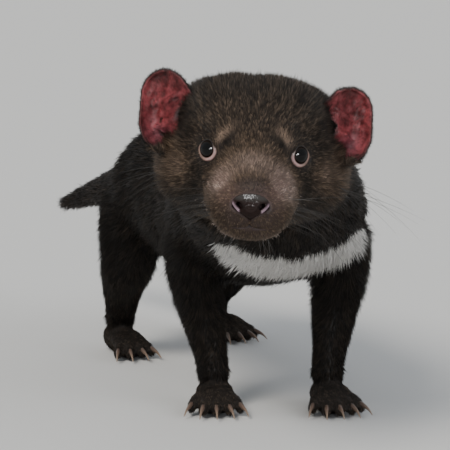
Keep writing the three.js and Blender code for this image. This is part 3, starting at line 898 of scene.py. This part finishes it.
def buildCoat(name, slot, surface, chosen, bent, seed):
    draw = np.random.default_rng(seed)
    triangles = surface["triangles"][chosen]
    triangle, corner = sprinkled(surface["points"], triangles, surface["tufts"], draw)
    count = len(triangle)

    def carried(key):
        values = surface[key][triangles[triangle]]
        return (values * (corner[:, :, None] if values.ndim == 3 else corner)).sum(1)

    roots, normals = carried("points"), unit(carried("normals"))
    angles = coatShape["stray"] * draw.normal(size=count) + coatShape["wander"] * ripple(roots, 22, 5)
    ways = laidFlat(carried("lie"), normals)
    ways = turned(ways, np.cross(normals, ways), np.radians(angles))
    proud = np.where(draw.uniform(size=count) < 0.03, 1.3, 1)
    long = carried("length") * draw.uniform(0.72, 1.12, count) * proud
    raised = np.radians(carried("lift") * (1 + 0.22 * draw.normal(size=count) + 0.15 * ripple(roots, 14, 6)))
    wide = (carried("width") * draw.uniform(0.75, 1.2, count))[:, None]
    start, middle, tip, first = tuftLine(roots, normals, ways, long, raised, bent)
    gathered, own = clumped(roots, tip, draw)
    middle += 0.4 * (gathered - tip)
    for place in (start, middle, gathered):  # none goes through the floor
        place[:, 2] = np.maximum(place[:, 2], coatShape["floor"])

    across = unit(np.cross(normals, first))
    ring = [0.5 * across, -0.5 * across, 0.45 * np.cross(first, across)]
    rows = [start + wide * r for r in ring]
    if bent:
        rows += [middle + 0.8 * wide * r for r in ring]
    rows.append(gathered)
    each = len(rows)
    faces, sizes, height, column = tuftShapes[bent]
    corners = (np.array(faces)[None] + np.arange(count)[:, None] * each).ravel()
    mesh = tuftMesh(name, np.stack(rows, 1).reshape(-1, 3), corners, np.tile(sizes, count))

    luck = 0.66 * draw.uniform(size=count)[own] + 0.34 * draw.uniform(size=count)
    hair = [np.tile(height, count), np.repeat(luck, each), np.repeat(carried("tone"), each)]
    attribute(mesh, "hair", np.stack(hair, 1))
    attribute(mesh, "mark", np.repeat(markings(roots), each, 0))

    flat = unwrapped(surface["points"], triangles)
    centre = (flat[triangle] * corner[:, :, None]).sum(1)
    template = np.stack([np.array(column) / 3, np.array(height)[np.array(faces)]], 1) - 0.5
    places = centre[:, None] + template[None] * coatShape["patch"]
    mesh.uv_layers.new(name="OFBake").data.foreach_set("uv", places.astype(np.float32).ravel())
    showPiece(name, mesh, fur, slot)
    print(name, "has", count, "tufts,", count * (9 if bent else 3), "triangles")


def nodeTriangles(*names):  # the skin's triangles that stand for these nodes
    return isNode(*names)[skinSurface["triangles"]].sum(1) >= 2


skinMiddle = skinSurface["points"][skinSurface["triangles"]].mean(1)
headX, _, headZ = toHead(skinMiddle).T
onHead = nodeTriangles("head", "jaw", *plugs)
coatPieces = [
    ("coat_face", "face_coat", onHead & (headX > 2), False),
    ("coat_crown", "face_coat", onHead & (headX <= 2) & (headZ > 8), False),
    ("coat_cheeks", "face_coat", onHead & (headX <= 2) & (headZ <= 8), False),
]
for node in ("neck", "chest", "belly", "rump", "tail"):
    coatPieces.append((f"coat_{node}", "coat", nodeTriangles(node), True))
for leg in paws.values():
    high = skinMiddle[:, 2] >= pawShape["top"] - 4
    coatPieces.append((f"coat_{leg}", "coat", nodeTriangles(leg) & high, False))
for number, (name, slot, chosen, bent) in enumerate(coatPieces):
    buildCoat(name, slot, skinSurface, chosen, bent, 100 + number)
for number, (paw, surface) in enumerate(pawSurfaces.items()):
    chosen = surface["points"][surface["triangles"]].mean(1)[:, 2] < pawShape["top"] - 3
    buildCoat("coat_" + paw, "paw_coat", surface, chosen, False, 140 + number)


# the eyes: glossy balls, nearly black, each behind a naked pale rim

eyeballShape = {
    "rings": 40, "around": 56, "bulge": 0.35, "reach": 0.72, "pupil": (0.5, 0.56), "iris": (0.78, 0.86),
}
eyeColours = {
    "pupil": (0.002, 0.002, 0.002), "dark": (0.005, 0.003, 0.002), "iris": (0.014, 0.008, 0.005),
    "edge": (0.012, 0.007, 0.006),
}
rimColours = {
    "fold": (0.11, 0.065, 0.052), "bare": (0.4, 0.26, 0.21), "corner": (0.44, 0.275, 0.26),
    # above is painted shade over the rim's top, under the brow
    "above": (0.02, 0.013, 0.01),
    "outward": [(0.0, (0.02, 0.012, 0.012)), (0.22, (1, 1, 1)), (0.45, (1, 1, 1)), (0.8, (0.25, 0.2, 0.17))],
}


def gridFaces(rows, columns, flip=False):  # a tube of quads, closed round its columns
    r, c = np.meshgrid(np.arange(rows - 1), np.arange(columns), indexing="ij")
    a, b = r * columns + c, r * columns + (c + 1) % columns
    quads = np.stack([a, b, b + columns, a + columns], -1).reshape(-1, 4)
    return (quads[:, ::-1] if flip else quads).tolist()


def waysRound(count, out, up):
    angle = np.arange(count) / count * 2 * math.pi
    c, s = np.cos(angle), np.sin(angle)
    return c, s, c[:, None] * out + s[:, None] * up


def eyeMaterial():
    material, tree, shader = newMaterial("eyeball")
    turn = readField(tree, "fromPupil")
    streak = noise(tree, objectPlace(tree), 1600, 5)
    iris = blended(tree, streak, eyeColours["dark"], eyeColours["iris"])
    colour = layered(
        tree, eyeColours["pupil"], (between(tree, turn, *eyeballShape["pupil"]), iris),
        (between(tree, turn, *eyeballShape["iris"]), eyeColours["edge"]),
    )
    feed(tree, shader, {"Base Color": colour, "Roughness": 0.04, "Specular IOR Level": 0.22})
    return material


def buildEye(side, material):
    gaze, out, up = eyeFrame(side)
    rings, around = eyeballShape["rings"], eyeballShape["around"]
    turn = np.linspace(0.02, math.pi * eyeballShape["reach"], rings)
    _, _, flat = waysRound(around, out, up)
    radius = eyeShape["radius"] + eyeballShape["bulge"] * bell(turn, 0.5)
    points = (np.cos(turn) * radius)[:, None, None] * gaze + (np.sin(turn) * radius)[:, None, None] * flat
    faces = gridFaces(rings, around, sides[side] > 0)
    caps = [list(range(around)), list(range((rings - 1) * around, rings * around))]
    faces += [caps[0][:: sides[side]], caps[1][:: -sides[side]]]
    mesh = newMesh("eyeball_" + side, eyeMiddle[side] + points.reshape(-1, 3), faces)
    attribute(mesh, "fromPupil", np.repeat(turn, around))
    showPiece("eyeball_" + side, mesh, material, "eye", "eye_" + side)


def lidMaterial():
    material, tree, shader = newMaterial("eyeRim")
    colours = rimColours
    place = objectPlace(tree)
    outward, inner, above = readParts(tree, "rim")
    # above lays painted shade over the rim's top
    pale = layered(
        tree, colours["fold"], (noise(tree, place, 450), colours["bare"]), (inner, colours["corner"]),
        (above, colours["above"]),
    )
    colour = blended(tree, 1.0, pale, ramp(tree, outward, colours["outward"]), "MULTIPLY")
    feed(tree, shader, {
        "Base Color": colour, "Normal": bumped(tree, noise(tree, place, 1500), 0.4, 0.0003),
        "Roughness": 0.38, "Subsurface Weight": 0.12, "Subsurface Radius": (0.004, 0.0015, 0.001),
    })
    return material


def buildLids(side, material):
    gaze, out, up = eyeFrame(side)
    around, thick, radius = lidShape["around"], lidShape["thick"], eyeShape["radius"]
    c, s, flat = waysRound(around, out, up)
    gap, rim, inner, above = lidEdges(c, s)
    centre = eyeMiddle[side]

    def toSkin(row):  # the way from each place of a row down to the skin, along the gaze
        hits = [skinTree.ray_cast(Vector(start), Vector(-gaze))[3] for start in row + gaze * 20]
        below = np.array([20 if hit is None else 20 - hit for hit in hits])
        return (np.roll(below, 1) + below + np.roll(below, -1))[:, None] / 3 * gaze

    def onBall(reach, lifted):  # a row over the eyeball, reach from its axis
        turn = np.arcsin(np.clip(reach / radius, 0, 0.97))
        size = (radius + lifted) * np.ones(around)
        return centre + (np.cos(turn) * size)[:, None] * gaze + (np.sin(turn) * size)[:, None] * flat

    rest = centre + flat * (gap + rim)[:, None]
    rest = rest + toSkin(rest) - 0.35 * gaze
    crest = onBall(gap + 0.3, thick)
    shoulder = onBall(gap + 0.3 + 0.4 * (rim - 0.3), thick)
    points = [onBall(gap - 0.1, -0.25), onBall(gap + 0.05, 0.2), crest]
    for t in np.linspace(0, 1, lidShape["rows"] - 3)[1:]:
        row = (1 - t) ** 2 * crest + 2 * t * (1 - t) * shoulder + t * t * rest
        lift = toSkin(row) + lidShape["proud"] * (1 - t) * gaze
        points.append(row + np.where(lift @ gaze[:, None] > 0, lift, 0))
    points.append(rest - 0.8 * gaze)
    points = np.array(points)
    for _ in range(2):
        beside = np.roll(points, 1, 1)[2:-1] + np.roll(points, -1, 1)[2:-1]
        points[2:-1] = 0.5 * points[2:-1] + 0.25 * beside
    count = len(points)
    mesh = newMesh("lids_" + side, points.reshape(-1, 3), gridFaces(count, around, sides[side] > 0))
    outward = np.repeat(np.linspace(0, 1, count), around)
    attribute(mesh, "rim", np.stack([outward, np.tile(inner, count), np.tile(above, count)], 1))
    makeFiner(showPiece("lids_" + side, mesh, material, "face_coat"), 1)


eyeFinish = eyeMaterial()
lidFinish = lidMaterial()
for side in sides:
    buildEye(side, eyeFinish)
    buildLids(side, lidFinish)
print("eyes and lids set")


# the wet nose

noseShape = {
    "voxel": 0.36, "grow": 0.25, "rounds": 4, "slit": 0.9, "slitHalf": 0.55, "rim": 0.5, "rimHalf": 0.95,
    "slitEnd": 9.6, "slitLong": 4.4, "slitCurve": (0.7, -4.3, 0.3), "nostril": (5.7, 1.1),
    "nostrilSpread": (1.7, 1.0), "front": 38,
}
noseColours = {
    "leather": (0.008, 0.003, 0.002), "worn": (0.02, 0.008, 0.006), "top": (0.018, 0.012, 0.008),
    # pink is the nostril wings' lilac, partly their own colour and partly a painted wet highlight; nostril
    # is painted shade, near black, in the openings and slits
    "pink": (0.4, 0.28, 0.34), "nostril": (0.003, 0.002, 0.002),
}


def noseMaterial():
    material, tree, shader = newMaterial("wetNose")
    colours = noseColours
    place = objectPlace(tree)
    # pink lays the wings' lilac, partly a painted wet highlight; hollow lays painted shade in the nostrils
    pink, hollow, top = readParts(tree, "part")
    colour = layered(
        tree, colours["leather"], (noise(tree, place, 500), colours["worn"]), (top, colours["top"]),
        (pink, colours["pink"]), (hollow, colours["nostril"]),
    )
    grain = bumped(tree, cells(tree, place, 1100.0), 0.3, 0.0004)
    feed(tree, shader, {
        "Base Color": colour, "Normal": grain, "Roughness": 0.5, "Specular IOR Level": 0.08,
        "Coat Weight": calc(tree, "ADD", times(tree, top, 0.8), 0.12), "Coat Normal": grain,
        "Coat Roughness": 0.12,
    })
    return material


def buildNose():
    shape = noseShape
    mesh = covered("noseLeather", ["nose"], shape["grow"], shape["voxel"])
    points = smoothed(netOf(mesh), pointsOf(mesh), shape["rounds"])
    setPoints(mesh, points)
    x, y, z = toHead(points).T
    y, z = np.abs(y), z - nosePad["middle"]
    isFront = x > shape["front"]
    # the slit leaves the nostril at its outer end and bends in under the wing
    t = np.clip((shape["slitEnd"] - y) / shape["slitLong"], 0, 1)
    level, slope, bend = shape["slitCurve"]
    slitAt = level + slope * t + bend * t * t
    slit = bell(z - slitAt, shape["slitHalf"]) * ease(y, 4.6, 5.8) * isFront
    wing = ease(y, 5, 6) * (1 - ease(y, shape["slitEnd"] - 1, shape["slitEnd"])) * isFront
    wing = wing * bell(z - slitAt - 1.3, shape["rimHalf"])
    # painted shade in each nostril's opening and in its slit
    hollow = near(np.stack([y, z], 1), shape["nostril"], shape["nostrilSpread"])
    setPoints(mesh, points + normalsOf(mesh) * (shape["rim"] * wing - shape["slit"] * slit)[:, None])
    # the wings take the lilac, partly a painted wet highlight
    fields = [wing * (1 - slit), np.maximum(hollow, slit), ease(z, 2.6, 4.8)]
    attribute(mesh, "part", np.clip(np.stack(fields, 1), 0, 1))
    showPiece("nose_leather", mesh, noseMaterial(), "nose_skin", "nose")


buildNose()
print("nose set")


# the ears: thin bare leather inside, dark and furred behind

earShape = {"voxel": 0.5, "rounds": 4, "drawnIn": 1.5, "spread": 7, "wrinkle": 0.3, "base": (-24, 47, 3)}
earCoat = {  # hair length, lift, root width, tufts per mm2, tone
    "behind": (2.6, 20, 0.34, 3.4, 0.1),
    "rim": (1.1, 50, 0.2, 5.0, 0.04),
    "inside": (2.4, 24, 0.15, 2.2, 0.25),
    "root": (4.5, 32, 0.38, 4.0, 0.6),
}
earColours = {
    "deep": (0.11, 0.016, 0.018), "pink": (0.38, 0.075, 0.085), "vein": (0.05, 0.008, 0.01),
    # the hollow colour is painted shade under the leaf's fold, and the colour after it a paler pink lower on
    # the leaf, partly its own and partly a painted highlight
    "hollow": (0.045, 0.008, 0.01), "ridge": (0.36, 0.12, 0.15), "rim": (0.035, 0.017, 0.015),
    "behind": (0.02, 0.013, 0.012),
}


def earMaterial():
    material, tree, shader = newMaterial("earLeather")
    colours = earColours
    place = objectPlace(tree)
    inside, rim, hollow = readParts(tree, "ear")
    mottle = between(tree, noise(tree, place, 190, 5), 0.36, 0.64)
    waves = {"Vector": place, "Scale": 60.0, "Distortion": 9.0, "Detail": 3.0}
    vein = addNode(tree, "ShaderNodeTexWave", waves).outputs["Fac"]
    # the hollow field adds painted shade under the fold and, where negative, the paler pink lower on the
    # leaf, partly a painted highlight
    pink = layered(
        tree, colours["deep"], (mottle, colours["pink"]), (times(tree, vein, 0.3), colours["vein"]),
        (times(tree, hollow, 0.6), colours["hollow"]), (times(tree, hollow, -0.6), colours["ridge"]),
        (times(tree, rim, 0.85), colours["rim"]),
    )
    feed(tree, shader, {
        "Base Color": blended(tree, inside, colours["behind"], pink),
        "Normal": bumped(tree, noise(tree, place, 420, 4), 0.5, 0.0006),
        "Roughness": 0.5, "Specular IOR Level": 0.2,
        "Subsurface Weight": 0.08, "Subsurface Radius": (0.006, 0.0012, 0.001),
    })
    return material


def earSurface(side, mesh, inside, edge, root):
    points, normals = pointsOf(mesh), normalsOf(mesh)
    bare = 1 - root
    share = np.stack([(1 - inside) * (1 - edge) * bare, edge * bare, inside * (1 - edge) * bare, root], 1)
    way = (points - fromHead(np.array(earShape["base"]) * [1, sides[side], 1])) * bare[:, None]
    way = way + root[:, None] * (headTurn @ np.array([-0.3, 0, 1]))
    surface = dict(zip(hairFields, (share @ np.array(list(earCoat.values()))).T))
    surface |= {"points": points, "normals": normals, "triangles": trianglesOf(mesh)}
    return surface | {"lie": laidFlat(way, normals)}


cadHeadTree = surfaceTree(nodeMesh("head"))


def buildEar(side, material):
    mesh = covered("ear_" + side, [f"ear_{side}"], 0.1, earShape["voxel"])
    net = netOf(mesh)
    points = smoothed(net, pointsOf(mesh), earShape["rounds"])
    pulled = points.copy()
    # beside the dip the leaf keeps its place, so that its inside shows
    free = np.clip(1.6 * atSpot(toHead(points) + np.array([6, 0, -2]), "dip"), 0, 1)
    for i, p in enumerate(points):  # the root is drawn down through the coat into the skin
        away = cadHeadTree.find_nearest(Vector(p))[3]
        _, normal, _, depth = skinTree.find_nearest(Vector(p))
        share = (1 - ease(away, 0.7, earShape["spread"])) * (1 - free[i])
        pulled[i] = p - np.array(normal) * (min(depth, 6) + earShape["drawnIn"]) * share
    points = smoothed(net, pulled, 3)
    setPoints(mesh, points)
    facing = (normalsOf(mesh) @ headTurn) @ unit(np.array([1, 0.15 * sides[side], 0.1]))
    inside = averaged(net, ease(facing, -0.12, 0.3)[:, None], 4)[:, 0]
    boundary = placeTree(points[np.abs(facing) < 0.2])
    away = np.array([boundary.find(p)[2] for p in points])
    edge = 1 - ease(away, 0.4, 1.3)
    wrinkle = earShape["wrinkle"] * ripple(points, 6, 9) * inside * (1 - edge)
    points = points + normalsOf(mesh) * wrinkle[:, None]
    setPoints(mesh, points)
    head = toHead(points) * np.array([1, sides[side], 1])
    root = 1 - ease(head[:, 2] + 0.7 * ripple(points, 5, 8), -7, 0)
    rim = np.maximum(1 - ease(away, 0.8, 2.2), ease(head[:, 2], 22, 33) * 0.6)
    # painted shade under the fold, less the paler pink lower on the leaf, which is partly a painted
    # highlight
    hollow = near(head, (-25, 44, 13), (7, 4, 7)) - near(head, (-22, 48, 1), (9, 6, 6))
    attribute(mesh, "ear", np.clip(np.stack([inside * (1 - root), rim, hollow], 1), -1, 1))
    showPiece("ear_leather_" + side, mesh, material, "ear_skin", "ear_" + side)
    return earSurface(side, mesh, inside, edge, root)


earFinish = earMaterial()
for number, side in enumerate(sides):
    surface = buildEar(side, earFinish)
    every = np.full(len(surface["triangles"]), True)
    buildCoat("coat_ear_" + side, "ear_skin", surface, every, False, 150 + number)
print("ears set")


# the claws

clawShape = {"sunk": 2.0, "finer": 2}
clawColours = {
    "reach": [(0, (0.07, 0.045, 0.036)), (0.4, (0.17, 0.115, 0.085)), (1, (0.34, 0.25, 0.18))],
    "worn": (0.09, 0.06, 0.045),
}


def clawMaterial():
    material, tree, shader = newMaterial("clawHorn")
    place = objectPlace(tree)
    colour = ramp(tree, readField(tree, "reach"), clawColours["reach"])
    colour = blended(tree, times(tree, noise(tree, place, 900), 0.4), colour, clawColours["worn"])
    grain = bumped(tree, noise(tree, place, 1200), 0.3, 0.0003)
    feed(tree, shader, {"Base Color": colour, "Normal": grain, "Roughness": 0.35})
    return material


def buildClaws():
    names = [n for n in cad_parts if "_claw_" in n]
    parts = []
    for name in names:
        part = nodeMesh(name)
        points = pointsOf(part)
        paw = middleOf(name.split("_claw")[0])
        tip = points[np.argmax(np.linalg.norm(points - paw, axis=1))]
        off = np.linalg.norm(points - tip, axis=1)
        share = off / off.max()
        back = unit(points[share > 0.85].mean(0) - tip)
        setPoints(part, points + ease(share, 0.75, 0.9)[:, None] * back * clawShape["sunk"])
        attribute(part, "reach", 1 - share)
        parts.append(part)
    mesh = joined("claws", parts)
    mesh.shade_smooth()
    makeFiner(showPiece("claws", mesh, clawMaterial(), "horn", *names), clawShape["finer"])


buildClaws()
print("claws set")


# the whiskers: tapered tubes that Geometry Nodes run along bent paths

whiskerShape = {"thick": 0.13, "fine": 0.18, "tip": 0.12, "sides": 5, "proud": 4.5}
whiskerRows = [  # middle on the head, spread, way, length, bend, number on each side
    ((30, 16, -26), (4, 3, 4), (-0.3, 1, -0.15), 34, -10, 9),
    ((20, 20, -24), (5, 2, 5), (-0.6, 1, -0.2), 44, -14, 10),
    ((-12, 42, -18), (5, 3, 4), (-0.7, 1, -0.25), 48, -14, 8),
    ((6, 17, 9), (2.5, 2, 1.5), (0.1, 0.6, 1), 24, -4, 3),
    ((26, 8, -39), (5, 4, 1), (0.2, 0.5, -1), 13, -3, 7),
]
bristleRows = [  # short pale hairs on the muzzle's sides, the chin and the jaw
    ((26, 14.8, -15), (8, 4, 5.5), (-0.8, 0.4, 0.2), 2.4, -0.4, 240),
    ((22, 14, -37), (12, 9, 5), (-0.6, 0.6, -0.5), 2.8, -0.5, 30),
    ((8, 24, -26), (12, 6, 12), (-0.9, 0.4, -0.3), 3.2, -0.5, 50),
]
whiskerColours = {
    "dark": ((0.012, 0.01, 0.009), (0.04, 0.033, 0.028)),
    "pale": ((0.5, 0.37, 0.31), (0.9, 0.74, 0.66)),
}


def buildTubeTree():
    tree = bpy.data.node_groups.new("whiskers", "GeometryNodeTree")
    inputs = {"Paths": "Geometry", "Thickness": "Float", "Tip share": "Float", "Sides": "Int"}
    for name, kind in inputs.items():
        tree.interface.new_socket(name=name, in_out="INPUT", socket_type="NodeSocket" + kind)
    tree.interface.new_socket(name="Hairs", in_out="OUTPUT", socket_type="NodeSocketGeometry")
    given = tree.nodes.new("NodeGroupInput").outputs
    curve = addNode(tree, "GeometryNodeMeshToCurve", {"Mesh": given["Paths"]}).outputs[0]
    where = addNode(tree, "GeometryNodeSplineParameter").outputs["Factor"]
    taper = {"Value": where, "To Min": 1.0, "To Max": given["Tip share"]}
    size = addNode(tree, "ShaderNodeMapRange", taper).outputs[0]
    circle = {"Resolution": given["Sides"], "Radius": given["Thickness"]}
    ring = addNode(tree, "GeometryNodeCurvePrimitiveCircle", circle).outputs[0]
    tube = {"Curve": curve, "Profile Curve": ring, "Scale": size, "Fill Caps": True}
    hairs = addNode(tree, "GeometryNodeCurveToMesh", tube).outputs[0]
    tree.links.new(hairs, tree.nodes.new("NodeGroupOutput").inputs["Hairs"])
    return tree


def whiskerMaterial(name, root, tip):
    material, tree, shader = newMaterial(name)
    wander = noise(tree, objectPlace(tree), 40)
    feed(tree, shader, {"Base Color": blended(tree, wander, root, tip), "Roughness": 0.35})
    return material


def tooFar(path):  # past the solids' box by more than the proud margin
    low, high = np.array(cadBox) / mm
    return (path < low - whiskerShape["proud"]).any() or (path > high + whiskerShape["proud"]).any()


def hairPath(root, normal, way, long, bend, count):
    steps = np.linspace(0, 1, count)[:, None]
    first = unit(way + 0.4 * normal)
    return root - normal + steps * first * (long + 1) + steps**2 * bend * headTurn[:, 2]


def hairPaths(rows, steps, seed):
    draw = np.random.default_rng(seed)
    paths = []
    for middle, spread, aim, length, sag, count in rows:
        for sign in sides.values():
            mirror = np.array([1, sign, 1])
            for _ in range(count):
                place = fromHead((np.array(middle) + draw.normal(size=3) * spread * 0.6) * mirror)
                root, normal, _, _ = skinTree.find_nearest(Vector(place))
                way = headTurn @ (unit(np.array(aim) + draw.normal(size=3) * 0.16) * mirror)
                long = length * draw.uniform(0.6, 1.1)
                bend = sag * draw.uniform(0.3, 1.3)
                path = hairPath(np.array(root), np.array(normal), way, long, bend, steps)
                while tooFar(path):  # it is swept back until it stays by the body
                    way = unit(way + 0.15 * headTurn @ np.array([-1, 0, 0]))
                    long = long * 0.97
                    path = hairPath(np.array(root), np.array(normal), way, long, bend, steps)
                paths.append(path)
    return paths


def buildWhiskers(name, paths, thick, material):
    each = len(paths[0])
    edges = [(i * each + k, i * each + k + 1) for i in range(len(paths)) for k in range(each - 1)]
    source = newObject(name + "Paths", newMesh(name + "Paths", np.concatenate(paths), edges=edges))
    grower = source.modifiers.new("grow", "NODES")
    grower.node_group = tubeTree
    values = {"Thickness": thick * mm, "Tip share": whiskerShape["tip"], "Sides": whiskerShape["sides"]}
    for item in tubeTree.interface.items_tree:
        if item.name in values:
            grower[item.identifier] = values[item.name]
    mesh = evaluated(source)
    bpy.data.objects.remove(source)
    mesh.name = name
    mesh.shade_smooth()
    showPiece(name, mesh, material, "face_coat")


tubeTree = buildTubeTree()
darkHair = whiskerMaterial("darkWhisker", *whiskerColours["dark"])
paleHair = whiskerMaterial("paleBristle", *whiskerColours["pale"])
buildWhiskers("whiskers", hairPaths(whiskerRows, steps=7, seed=7), whiskerShape["thick"], darkHair)
buildWhiskers("bristles", hairPaths(bristleRows, steps=3, seed=8), whiskerShape["fine"], paleHair)
print("whiskers set")


# the floor, the lights and the camera

view = {
    "azimuth": 65, "elevation": 9.5, "distance": 1200, "wide": 231,
    "lookAhead": 4.5, "lookLeft": 14.9, "lookDown": 36.9,
}
stage = {"floor": 40000, "grey": (0.62, 0.62, 0.61), "sky": (0.9, 0.95, 1), "skyPower": 0.62}
lamps = {  # kind, way as right, up and back to the camera, distance, power, what else is set
    "key": ("SUN", (-0.6, 0.95, 0.8), 2000, 2.2, {"angle": math.radians(24), "color": (1, 0.94, 0.86)}),
    "fill": ("SUN", (0.9, 0.4, 0.6), 2000, 0.9, {"angle": math.radians(40), "color": (0.96, 0.96, 1)}),
    "window": ("AREA", (0.1, 0.16, 1), 900, 7, {"size": 0.2}),
    "door": ("AREA", (-0.1, 0.02, 1), 900, 1.8, {"size": 0.12}),
    "ceiling": ("AREA", (0, 1, -0.05), 900, 2.8, {"size": 0.3}),
}


def setStage():
    reach = stage["floor"]
    corners = [(-reach, -reach, 0), (reach, -reach, 0), (reach, reach, 0), (-reach, reach, 0)]
    mesh = newMesh("floor", corners, [(0, 1, 2, 3)])
    material, tree, shader = newMaterial("paleFloor")
    feed(tree, shader, {"Base Color": stage["grey"], "Roughness": 0.85})
    mesh.materials.append(material)
    newObject("floor", mesh)
    world = bpy.data.worlds.new("studio")
    bpy.context.scene.world = world
    world.use_nodes = True
    tree = world.node_tree
    feed(tree, tree.nodes["Background"], {"Color": stage["sky"], "Strength": stage["skyPower"]})


def setLights(target, axes):
    for name, (kind, way, far, power, settings) in lamps.items():
        lamp = bpy.data.lights.new(name, kind)
        lamp.energy = power
        for key, value in settings.items():
            setattr(lamp, key, value)
        away = far * (axes @ np.array(way))
        holder = newObject(name, lamp)
        holder.location = Vector((target + away) * mm)
        holder.rotation_euler = Vector(away).to_track_quat("Z", "Y").to_euler()
        # the suns give no highlights, and the small lamps nothing but those in the eyes and on the nose
        holder.visible_glossy = kind == "AREA"
        holder.visible_diffuse = holder.visible_camera = kind == "SUN"


def setCamera():
    a, e = math.radians(view["azimuth"]), math.radians(view["elevation"])
    level = np.array([math.sin(a), -math.cos(a), 0])
    back = level * math.cos(e) + np.array([0, 0, math.sin(e)])
    right = np.array([math.cos(a), math.sin(a), 0])
    up = np.cross(back, right)
    aim = betweenEyes + view["lookAhead"] * level - view["lookLeft"] * right - view["lookDown"] * up
    camera = bpy.data.cameras.new("camera")
    camera.lens = 36 * view["distance"] / view["wide"]
    camera.sensor_width = 36
    camera.sensor_fit = "HORIZONTAL"
    camera.clip_end = 100
    holder = newObject("camera", camera)
    turn = Matrix((right, up, back)).transposed().to_4x4()
    holder.matrix_world = Matrix.Translation(Vector((aim + view["distance"] * back) * mm)) @ turn
    bpy.context.scene.camera = holder
    setLights(aim, np.stack([right, up, back], 1))


setStage()
setCamera()
print("stage set")
